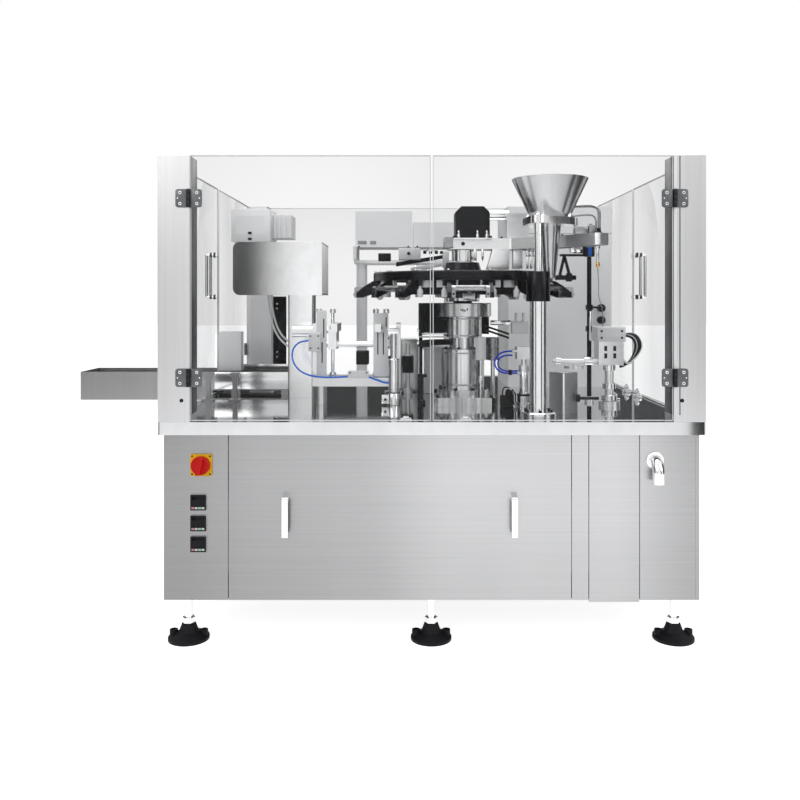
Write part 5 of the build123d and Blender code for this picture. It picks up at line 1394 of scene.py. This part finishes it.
@dataclass
class OverheadDetails:
    """What hangs on and under the overhead arm, and the filler's small parts.

    Args:
        filler: X and Y of the filler's post.
        nozzle: X and Y of the nozzle.
    """

    filler: Place = (349.0, -652.0)
    nozzle: Place = (566.0, -548.0)

    def build(self) -> None:
        """Make the arm's screws, cylinders, brackets, strut and pipes, and the filler's parts."""
        screws = Piece("arm_screws", Finishes.SCREW)
        for x, y, z in ((128.0, -312.0, 1283.0), (440.0, -435.2, 1283.0)):
            screws.rod((x, y + 1, z), (x, y - 3.5, z), 7.0, bevel=0.8, sides=28)
            screws.rod((x, y - 3.5, z), (x, y - 3.9, z), 3.4, sides=6)
        for x, y in (
            (140, -228), (270, -300), (270, -222), (388, -330), (470, -420), (556, -548), (572, -500),
        ):
            screws.pin((x, y), 1303, 1309, 5.2, bevel=0.7, sides=24)
            screws.pin((x, y), 1309, 1309.4, 2.6, sides=6)
        screws.make()

        fixed = Piece("arm_cylinders", Finishes.BRIGHT)
        fixed.pin((172, -318), 1222, 1263, 5.0, bevel=0.8)
        fixed.pin((199, -318), 1230, 1263, 4.4, bevel=0.8)
        fixed.pin((199, -318), 1219, 1230, 0.8, tip=4.4)
        for x in (362.0, 376.0, 390.0):
            fixed.pin((x, -318), 1192, 1236, 4.6, bevel=0.8)
            fixed.pin((x, -318), 1236, 1263, 7.4, bevel=0.8)
        for x in (112.0, 180.0, 214.0):
            fixed.pin((x, -322), 1303, 1316, 6.5, bevel=1.0)
            fixed.pin((x, -322), 1316, 1330, 4.0, bevel=0.8)
        fixed.block((94, -334, 1297), (234, -311, 1303.5), 1.2)
        fixed.turned((0, -262, 1391), [
            (0, 286.4), (17.9, 286.4), (18.6, 287.4), (18.6, 300), (17.9, 301), (17.9, 228), (18.6, 227),
            (18.6, 227),
            (18.6, 286), (0, 286.4),
        ], axis=(1, 0, 0), steps=48)
        fixed.make()

        housing = Piece("arm_brackets", Finishes.ALU)
        housing.prism([
            (236, -318, 1263), (296, -318, 1263), (296, -318, 1190), (214, -318, 1190), (222, -318, 1212),
        ], (0, 50, 0), 1.5)
        housing.block((312, -310, 1192), (346, -270, 1263), 2.0)
        housing.block((400, -372, 1236), (436, -340, 1263.4), 2.0)
        housing.make()
        ends = Piece("arm_ends", Finishes.SATIN)
        ends.block((58, -316, 1266), (92, -250, 1308), 2.0)
        ends.block((496, -520, 1303.4), (540, -478, 1328), 2.0)
        ends.block((542, -524, 1303.4), (562, -480, 1333), 2.0)
        ends.pin((552, -502), 1333, 1339, 6.0, bevel=0.8, sides=24)
        ends.make()

        strut = Piece("arm_strut", Finishes.DARK)
        for x0, x1 in ((472.0, 456.0), (472.0, 490.0)):
            strut.prism(
                [(x0 - 5, -452, 1232), (x0 + 5, -452, 1232), (x1 + 5, -452, 1164), (x1 - 5, -452, 1164)],
                (0, 8, 0), 1.0,
            )
        strut.block((456, -456, 1230), (548, -440, 1238), 1.5)
        strut.block((536, -452, 1236), (546, -444, 1263.4), 1.5)
        strut.block((440, -458, 1148), (512, -438, 1164), 2.0)
        strut.rod((456, -472, 1160), (456, -428, 1160), 7.0, bevel=0.8)
        strut.rod((490, -472, 1160), (490, -428, 1160), 7.0, bevel=0.8)
        strut.block((478, -468, 1142), (496, -440, 1172), 2.0)
        strut.make()
        rolls = Piece("arm_rolls", Finishes.BRIGHT)
        for x in (500.0, 520.0):
            rolls.rod((x, -462, 1252), (x, -436, 1252), 9.0, bevel=1.2)
        rolls.make()

        tube("arm_pipe", [
            (430, -330, 1318), (430, -330, 1384), (436, -338, 1402), (470, -380, 1406), (530, -448, 1405),
            (568, -486, 1402), (582, -498, 1388), (582, -498, 1368), (582, -498, 1318), (582, -498, 1304),
        ], 5.4, Finishes.SATIN)
        tube("arm_pipe_thin", [
            (446, -330, 1318), (446, -330, 1350), (452, -338, 1366), (490, -390, 1372), (548, -468, 1374),
            (566, -492, 1368), (571, -500, 1352), (571, -500, 1318), (571, -500, 1304),
        ], 3.4, Finishes.SATIN)
        feet = Piece("pipe_fittings", Finishes.DARK)
        for x, y in ((430, -330), (580, -498)):
            feet.turned((x, y, 0), [(0, 1303), (11, 1303), (11, 1312), (8, 1314), (8, 1324), (0, 1324)])
        feet.make()

        nozzle = Piece("nozzle_body", Finishes.BRIGHT)
        nozzle.pin(self.nozzle, 1263, 1206, 4.2, bevel=0.8)
        nozzle.pin(self.nozzle, 1263, 1250, 8.0, bevel=1.2, sides=6)
        nozzle.make()
        tip = Piece("nozzle_tip", Finishes.BRASS)
        tip.turned(
            (*self.nozzle, 0), [(0, 1186), (3, 1186), (6.5, 1192), (6.5, 1201), (4.6, 1206), (0, 1206)],
        )
        tip.make()
        tube("nozzle_wire", [
            (*self.nozzle, 1187), (567, -546, 1166), (574, -530, 1130), (592, -440, 1090),
            (616, -392, 1056), (626, -372, 1010), (626, -366, 978),
        ], 1.4, Finishes.FRAME)

        clamp = Piece("funnel_nuts", Finishes.BRIGHT, "filling_funnel")
        for x, y in (self.filler, (372, -607), (439, -478), (330, -560), (464, -592)):
            clamp.pin((x, y), 1352, 1361, 9.0, bevel=1.0, sides=6)
            clamp.pin((x, y), 1361, 1366, 5.0, bevel=0.8, sides=20)
        clamp.make()
        sleeve = Piece("filler_sleeve", Finishes.DARK)
        sleeve.turned((*self.filler, 0), [
            (27.8, 1074), (38.0, 1074), (38.6, 1076), (38.6, 1169), (37.6, 1171), (13, 1171), (13, 1170),
            (27.8, 1074),
        ])
        sleeve.make()
        base = Piece("filler_bolts", Finishes.SCREW)
        for step in range(6):
            a = math.radians(step * 60 + 30)
            x = self.filler[0] + 44 * math.cos(a)
            y = self.filler[1] + 44 * math.sin(a)
            base.pin((x, y), 718, 725, 5.0, bevel=0.7, sides=24)
        base.make()


@dataclass
class SensorPost:
    """The black sensor head with its blue band, and the post's sleeve and clamps.

    Args:
        place: X and Y of the post.
    """

    place: tuple[float, float] = (604.0, -240.0)

    def build(self) -> None:
        """Make the head, the band, the sleeve and the clamps."""
        x, y = self.place
        head = Piece("sensor_cover", Finishes.BLACK)
        head.block((x - 18, y - 14, 1239), (x + 18, y + 14, 1279), 2.5)
        head.block((x - 60, y - 10, 1252), (x - 18, y + 10, 1268), 2.0)
        head.make()
        band = Piece("sensor_band", Finishes.BLUE)
        band.block((x - 7, y - 14.6, 1242), (x + 7, y - 13, 1276), 0.5)
        band.make()
        pole = Piece("sensor_pole", Finishes.DARK)
        pole.turned((x, y, 0), [(6.2, 718), (8.4, 719), (8.4, 1237), (6.2, 1238), (6.2, 718)], steps=36)
        pole.make()
        Piece("sensor_pipe", Finishes.BRIGHT).pin((x, y - 16), 926, 1036, 4.0, bevel=0.6).make()
        clamps = Piece("sensor_clamps", Finishes.DARK)
        for z in (960.0, 1040.0):
            clamps.block((x - 12, y - 12, z), (x + 12, y + 12, z + 20), 2.0)
            clamps.rod((x + 6, y, z + 10), (x + 60, y, z + 10), 4.0, bevel=0.6)
        clamps.make()


@dataclass
class SealingDetails:
    """Plates, cylinders and fittings of the sealing station, and the posts beside it.

    Args:
        dark_post: X and Y of the post with the black cuff.
        rear_post: X and Y of the thicker post behind the station.
        front_post: X and Y of the post in front of the station.
    """

    dark_post: Place = (-72.0, 12.0)
    rear_post: Place = (-129.0, 27.0)
    front_post: Place = (-124.0, -354.0)

    def build(self) -> None:
        """Make the station's small parts."""
        plates = Piece("seal_plates", Finishes.WHITE)
        plates.block((-432, -352, 892), (-388, -328, 960), 2.0)
        plates.block((-404, -333, 800), (-368, -325.4, 1040), 1.5)
        plates.block((-198, -333, 800), (-144, -325.4, 1030), 1.5)
        plates.block((-148, -352, 900), (-138, -325, 950), 2.0)
        plates.block((-290, -352, 796), (-214, -330, 822), 2.0)
        plates.make()
        slots = Piece("seal_slots", Finishes.BLACK)
        for x, z0, z1 in (
            (-384, 850, 925), (-378, 940, 1010), (-182, 880, 960), (-162, 880, 960), (-152, 980, 1016),
        ):
            slots.block((x - 2, -333.6, z0), (x + 2, -332.6, z1), 0.4)
        for x, z in (
            (-424, 948), (-396, 948), (-424, 904), (-396, 904), (-143, 940), (-143, 908), (-282, 816),
            (-222, 816),
        ):
            slots.rod((x, -351, z), (x, -353.2, z), 2.8, sides=20)
        slots.block((-262, -318, 842), (-216, -272, 892), 3.0)
        slots.make()
        bars = Piece("seal_rods", Finishes.BRIGHT)
        for x in (-398.0, -348.0, -190.0, -152.0):
            bars.pin((x, -300), 796, 1046, 6.0, bevel=1.0)
            bars.turned((x, -300, 0), [(6, 1030), (11, 1030), (11, 1044), (6, 1044), (6, 1030)], steps=36)
            bars.turned((x, -300, 0), [(6, 798), (12, 798), (12, 812), (6, 812), (6, 798)], steps=36)
        bars.make()
        heads = Piece("jaw_screws_outer", Finishes.SCREW, "outer_jaw")
        inner = Piece("jaw_screws_inner", Finishes.SCREW, "inner_jaw")
        for y in (-345, -305, -225, -185):
            heads.rod((-351, y, 977), (-354, y, 977), 4.0, bevel=0.5, sides=20)
            inner.rod((-169, y, 977), (-166, y, 977), 4.0, bevel=0.5, sides=20)
        heads.make()
        inner.make()
        cuffs = Piece("post_cuffs", Finishes.BLACK)
        cuffs.turned(
            (*self.dark_post, 0),
            [(9.2, 784), (22, 784), (23, 786), (23, 850), (22, 852), (9.2, 852), (9.2, 784)],
        )
        cuffs.turned(
            (*self.rear_post, 0),
            [(22.2, 800), (24, 802), (24, 846), (22, 850), (16.2, 850), (16.2, 800), (22.2, 800)],
        )
        cuffs.make()
        sleeves = Piece("post_sleeves", Finishes.BRIGHT)
        sleeves.turned((*self.rear_post, 0), [
            (9.2, 701), (38, 701), (38, 710), (36, 712), (22, 714), (22, 844), (20, 846), (16, 848),
            (16, 936),
            (14, 938), (9.2, 938), (9.2, 701),
        ])
        sleeves.turned((*self.front_post, 0), [
            (0, 701), (24, 701), (24, 740), (22, 744), (20.5, 746), (20.5, 864), (18, 867), (10, 868),
            (10, 956), (0, 956),
        ])
        sleeves.block((-168, -372, 706), (-140, -340, 738), 2.5)
        sleeves.block((-146, -370, 956), (-104, -338, 976), 2.0)
        sleeves.make()
        bands = Piece("post_bands", Finishes.SCREW)
        bands.turned(
            (*self.front_post, 0), [(20.6, 742), (22.6, 742), (22.6, 747), (20.6, 747), (20.6, 742)],
        )
        bands.rod((-154, -373, 722), (-154, -376, 722), 5.0, bevel=0.6, sides=24)
        bands.make()
        for number, points in enumerate((
            [
                (-621, 0, 1098), (-619, 0, 1060), (-610, -6, 1010),
                (-592, -20, 962), (-566, -40, 926), (-538, -52, 908),
            ],
            [
                (-634, 6, 1098), (-632, 4, 1056), (-622, -4, 1002),
                (-602, -22, 950), (-572, -48, 912), (-538, -68, 890),
            ],
        )):
            tube(f"white_hose_{number + 1}", points, 4.0, Finishes.CREAM)


@dataclass
class FeederDetails:
    """Slots, knobs, tray and suction arms of the bag feeder, and the outfeed's bright plates.

    Args:
        hood_face: Y of the magazine hood's front.
        nose_face: Y of the rear unit's front.
    """

    hood_face: float = 340.0
    nose_face: float = 138.0

    def build(self) -> None:
        """Make the feeder's small parts."""
        slots = Piece("feeder_slots", Finishes.FRAME)
        y = self.hood_face
        for x0, x1 in ((-293.0, -254.0), (-239.0, -212.0)):
            slots.block((x0, y - 0.8, 1322), (x1, y + 0.5, 1338), 0.4)
        slots.make()
        seams = Piece("hood_screws", Finishes.SCREW)
        for x in (-288.0, -70.0, -30.0, 120.0):
            seams.rod((x, y + 0.2, 1312), (x, y - 2.4, 1312), 4.2, bevel=0.6, sides=24)
        seams.make()
        cover = Piece("unit_cover", Finishes.WHITE)
        cover.block((-812, self.nose_face + 0.6, 1320), (-651, 200, 1459), 4.0)
        cover.make()
        knobs = Piece("unit_knobs", Finishes.BLACK)
        for z in (1357.0, 1332.0):
            knobs.block((-741, self.nose_face - 7, z - 5), (-725, self.nose_face + 2, z + 5), 3.4)
        knobs.make()
        apron = Piece("conveyor_apron", Finishes.BRIGHT)
        apron.block((-844, -24.8, 722), (-502, -23.9, 789), 0.3)
        apron.block((-842, 176, 786), (-502, 183, 806), 1.0)
        apron.make()
        Piece("conveyor_box", Finishes.WHITE).block((-834, 4, 792), (-744, 60, 949), 1.5).make()
        Piece("housing_side", Finishes.WHITE).block((-398.2, -194, 1102), (-397.6, 54, 1291), 0.2).make()
        Piece("column_tray", Finishes.DARK).block((-657, 274, 795), (-600, 281, 1092), 1.5).make()
        studs = Piece("tray_studs", Finishes.BRIGHT)
        for z in (830.0, 850.0, 1040.0, 1060.0):
            studs.rod((-640, 274.2, z), (-640, 271, z), 3.6, bevel=0.5, sides=20)
        studs.make()
        self._pickers()

    def _pickers(self) -> None:
        """Make the two suction arms that reach from the deck to the clips."""
        arms = Piece("picker_arms", Finishes.ALU)
        cups = Piece("picker_cups", Finishes.RUBBER)
        rods = Piece("picker_rods", Finishes.BRIGHT)
        for x in (-20.0, 20.0):
            rods.rod((x, 300, 1196), (x, 362, 1196), 7.0, bevel=0.8)
            arms.block((x - 9, 296, 1150), (x + 9, 312, 1210), 2.0)
            arms.block((x - 6, 250, 1150), (x + 6, 304, 1162), 1.5)
            cups.turned(
                (x, 250, 1156), [(0, 0), (4, 0), (4, 5), (9, 12), (8, 12), (0, 6)], axis=(0, -1, 0),
                steps=32,
            )
        rods.block((-40, 352, 1184), (40, 372, 1238), 2.0)
        rods.make()
        arms.make()
        cups.make()


@dataclass
class OpeningDetails:
    """Head, fittings, hose bundle and table clips of the opening station.

    Args:
        post: X and Y of the post.
        bar_height: Height of the side bar.
        bin_place: X and Y of the corner-on box.
        bin_half: Half the width of its rim.
    """

    post: Place = (650.0, -359.0)
    bar_height: float = 858.6
    bin_place: Place = (448.0, -560.0)
    bin_half: float = 33.0

    def build(self) -> None:
        """Make the station's small parts."""
        Piece("opener_cover", Finishes.WHITE).block((598, -406, 929.6), (698, -312, 982), 3.0).make()
        bolts = Piece("opener_bolts", Finishes.SCREW)
        for x in (612, 684):
            for z in (944, 968):
                bolts.rod((x, -405, z), (x, -408.4, z), 4.0, bevel=0.5, sides=20)
        for x, z in ((628, 880), (660, 880), (628, 906), (660, 906)):
            bolts.block((x - 5, -400.6, z - 9), (x + 5, -398.6, z + 9), 0.6)
        bolts.make()
        collar = Piece("opener_collars", Finishes.BRIGHT)
        for z, r in ((718, 28), (760, 24), (826, 22)):
            collar.turned(
                (*self.post, 0),
                [(16.2, z), (r, z), (r, z + 18), (r - 2, z + 20), (16.2, z + 20), (16.2, z)], steps=44,
            )
        for near, far, radius in ((560, 590, 15), (456, 474, 13)):
            collar.turned(
                (0, self.post[1], self.bar_height),
                [(8.1, near), (radius, near), (radius, far), (8.1, far), (8.1, near)],
                axis=(1, 0, 0), steps=36,
            )
        collar.make()
        for number in range(9):
            lift = number * 5.5
            tube(f"opener_line_{number + 1}", [
                (698, -384 + number * 5, 950), (722 + lift * 0.5, -380 + number * 5, 950 + lift * 0.4),
                (748 + lift * 0.6, -356, 918), (740 + lift * 0.3, -342, 872), (712, -338 - number * 3, 838),
                (692, -344 - number * 3, 836 + number * 5),
            ], 3.6, Finishes.CREAM if number in (2, 8) else Finishes.RUBBER)
        clips = Piece("table_clips", Finishes.BRIGHT)
        for x, y in ((822, 60), (818, -110), (700, -240)):
            clips.block((x - 16, y - 12, 700), (x + 16, y + 12, 712), 1.5)
            clips.block((x - 7, y - 9, 712), (x + 7, y + 9, 728), 1.5)
            clips.pin((x, y), 728, 733, 4.5, bevel=0.6, sides=6)
        clips.make()
        edge = Piece("bin_rim", Finishes.BRIGHT)
        (x, y), half = self.bin_place, self.bin_half
        edge.block((x - half, y - half, 830), (x + half, y + half, 838), 1.2, turn=35.0)
        edge.make()
        latch = Piece("bin_latch", Finishes.SCREW)
        latch.rod((492, -584, 752), (560, -590, 752), 5.0, bevel=0.8)
        latch.pin((492, -584), 740, 764, 7.0, bevel=0.8)
        latch.make()


@dataclass
class ColumnSurroundings:
    """What stands round the carousel's column and reaches in from the left.

    Args:
        centre: The carousel's X and Y.
        guard_radius: Outer radius of the black cam guard.
        cylinder: X and Y of the pale cylinder.
        motor: X and Y of the side motor.
        valve: X and Y of the valve post's sleeve.
    """

    centre: tuple[float, float] = (130.0, -265.0)
    guard_radius: float = 164.0
    cylinder: Place = (189.0, -352.0)
    motor: Place = (249.0, -190.0)
    valve: Place = (340.0, -387.0)

    def build(self) -> None:
        """Make the guard, rods, cylinders, boxes and pick-off arms."""
        self._guard()
        self._right_side()
        self._left_side()
        self._pick_off()

    def _guard(self) -> None:
        """Make the curved black guard behind the cam ring and its two rods."""
        x, y = self.centre
        guard = Piece("cam_guard", Finishes.BLACK)
        steps = 26
        for low, high, inner in (
            (946.0, 1066.0, self.guard_radius - 5), (905.0, 926.0, self.guard_radius - 40),
        ):
            ring = []
            outward, back = range(steps + 1), range(steps, -1, -1)
            for radius, order in ((self.guard_radius, outward), (inner, back)):
                for step in order:
                    a = math.radians(48 + step * 144 / steps)
                    ring.append((x + radius * math.cos(a), y + radius * math.sin(a), low))
            guard.prism(ring, (0, 0, high - low))
        guard.block((-32, -262, 905), (-20, -230, 1066), 2.0)
        guard.make()
        rods = Piece("guard_rods", Finishes.BRIGHT)
        for z in (942.0, 954.0):
            rods.rod((-34, -276, z), (70, -276, z), 3.2, bevel=0.5, sides=24)
        for z in (920.0, 966.0):
            rods.block((-40, -284, z - 6), (-26, -262, z + 6), 1.5)
        rods.make()

    def _right_side(self) -> None:
        """Make the small cylinders, bars and wiring at the right of the column."""
        pale = Piece("column_cylinder", Finishes.WHITE)
        pale.turned((*self.cylinder, 0), [(0, 862), (17, 862), (19, 864), (19, 943), (17, 945), (0, 945)])
        pale.block((306, -318, 954), (366, -286, 1000), 2.0)
        pale.block((318, -322, 1000), (326, -300, 1030), 1.0)
        pale.block((344, -322, 1000), (352, -300, 1030), 1.0)
        pale.make()
        steel = Piece("column_cylinder_rods", Finishes.BRIGHT)
        steel.pin(self.cylinder, 728, 862, 4.0)
        steel.pin(self.cylinder, 780, 804, 7.5, bevel=1.0)
        steel.rod((228, -322, 995), (300, -322, 995), 9.0, bevel=1.0)
        steel.pin(self.motor, 701, 850, 8.0)
        steel.turned((*self.valve, 0), [
            (0, 744), (18, 744), (18, 750), (15.6, 752), (15.6, 842), (14, 845), (0, 845),
        ], steps=44)
        steel.turned(
            (*self.valve, 0), [(0, 701), (27, 701), (27, 712), (24, 714), (24, 738), (0, 738)], steps=44,
        )
        steel.make()
        dark = Piece("column_side_motor", Finishes.SATIN)
        dark.turned((*self.motor, 0), [(0, 850), (24, 850), (26, 852), (26, 934), (24, 936), (0, 936)])
        dark.make()
        bars = Piece("column_side_bars", Finishes.BLACK)
        for rise in (0.0, -14.0):
            bars.prism([
                (206, -330, 988 + rise), (294, -330, 958 + rise), (294, -330, 950 + rise),
                (206, -330, 980 + rise),
            ], (0, 8, 0), 0.8)
        bars.turned((*self.valve, 0), [(0, 738), (25, 738), (25, 744), (0, 744)], steps=44)
        for x, y, tall in ((268, -396, 40), (290, -372, 58), (-24, -318, 12)):
            bars.block((x - 14, y - 12, 701), (x + 14, y + 12, 701 + tall), 3.0)
        bars.block((-38, -322, 701), (-26, -306, 806), 2.5)
        bars.block((-38, -322, 796), (-4, -306, 808), 2.5)
        bars.make()
        for number in range(3):
            tube(f"column_wire_{number + 1}", [
                (262 + number * 6, -402, 741), (258 + number * 10, -418, 770),
                (284 + number * 8, -424, 772 - number * 8),
                (300 + number * 4, -412, 744), (298 + number * 4, -404, 712), (312 + number * 4, -398, 703),
            ], 2.2, Finishes.CREAM if number == 1 else Finishes.RUBBER)
        tube("blue_line", [
            (300, -376, 880), (280, -378, 882), (256, -382, 874), (246, -384, 856), (250, -384, 836),
            (272, -384, 824),
            (298, -384, 824), (318, -384, 826),
        ], 3.0, Finishes.HOSE)
        Piece("hose_tie", Finishes.BLACK).block((286, -396, 811), (296, -378, 830), 1.5).make()

    def _left_side(self) -> None:
        """Make the pale boxes and the dark strip at the left of the column."""
        boxes = Piece("column_boxes", Finishes.WHITE)
        boxes.block((-8, 0, 701), (94, 60, 878), 3.0)
        boxes.block((-12, -8, 878), (98, 64, 892), 2.0)
        boxes.make()
        Piece("column_rear_housing", Finishes.ALU).block((-112, 60, 701), (-28, 120, 920), 14.0).make()
        Piece("column_rear_strip", Finishes.DARK).block((-26, 64, 701), (-12, 110, 920), 1.5).make()

    def _pick_off(self) -> None:
        """Make the arms and boxes above the disc at the left of the hub, and the cabinet's seam."""
        arms = Piece("pick_off_black", Finishes.BLACK)
        arms.prism(
            [(-118, -150, 1222), (72, -150, 1252), (72, -150, 1238), (-118, -150, 1206)], (0, 16, 0), 1.2,
        )
        arms.block((-186, -170, 1226), (-138, -130, 1256), 2.0)
        arms.rod((-70, -190.5, 1254), (-70, -196, 1254), 6.0, bevel=1.0, sides=28)
        for x in (-14.0, 8.0, 30.0, 50.0):
            arms.block((x, -176, 1254), (x + 12, -150, 1264), 1.0)
        arms.make()
        pale = Piece("pick_off_pale", Finishes.WHITE)
        pale.block((-108, -190, 1230), (-24, -130, 1274), 2.5)
        pale.prism(
            [(-62, -172, 1200), (72, -172, 1222), (72, -172, 1208), (-62, -172, 1188)], (0, 14, 0), 1.0,
        )
        pale.block((60, -176, 1200), (84, -150, 1264), 2.0)
        for x in (-16.0, 18.0):
            pale.block((x, -178, 1264), (x + 22, -150, 1270), 1.0)
        pale.make()
        Piece("cabinet_seams", Finishes.FRAME).block((360, 260.2, 1363), (811, 261.4, 1365), 0.2).make()


@dataclass
class RegulatorDetails:
    """Gauge rings and stems behind the two pressure regulators."""

    def build(self) -> None:
        """Make the rings on the electrical cabinet."""
        rings = Piece("regulator_rings", Finishes.BRIGHT)
        for z in (1042.0, 990.0):
            rings.turned(
                (760, 0, z), [(6.2, -261), (15, -261), (15, -256), (12, -254), (6.2, -254), (6.2, -261)],
                axis=(0, -1, 0), steps=40,
            )
        rings.make()


def main() -> None:
    """Build the studio, dress the CAD and add every detail."""
    logging.basicConfig(level=logging.INFO)
    Studio().build()
    Dressing().build()
    assemblies = (
        AirHoses(), GuardSheets(), Hinges(), DoorFurniture(), OperatorControls(),
        CarouselDetails(), OverheadDetails(), SensorPost(), SealingDetails(),
        FeederDetails(), OpeningDetails(), ColumnSurroundings(), RegulatorDetails(),
    )
    for assembly in assemblies:
        assembly.build()
        log.info("built %s", type(assembly).__name__)
    scene = bpy.context.scene
    scene.view_settings.view_transform = "Standard"


if __name__ == "__main__":
    main()
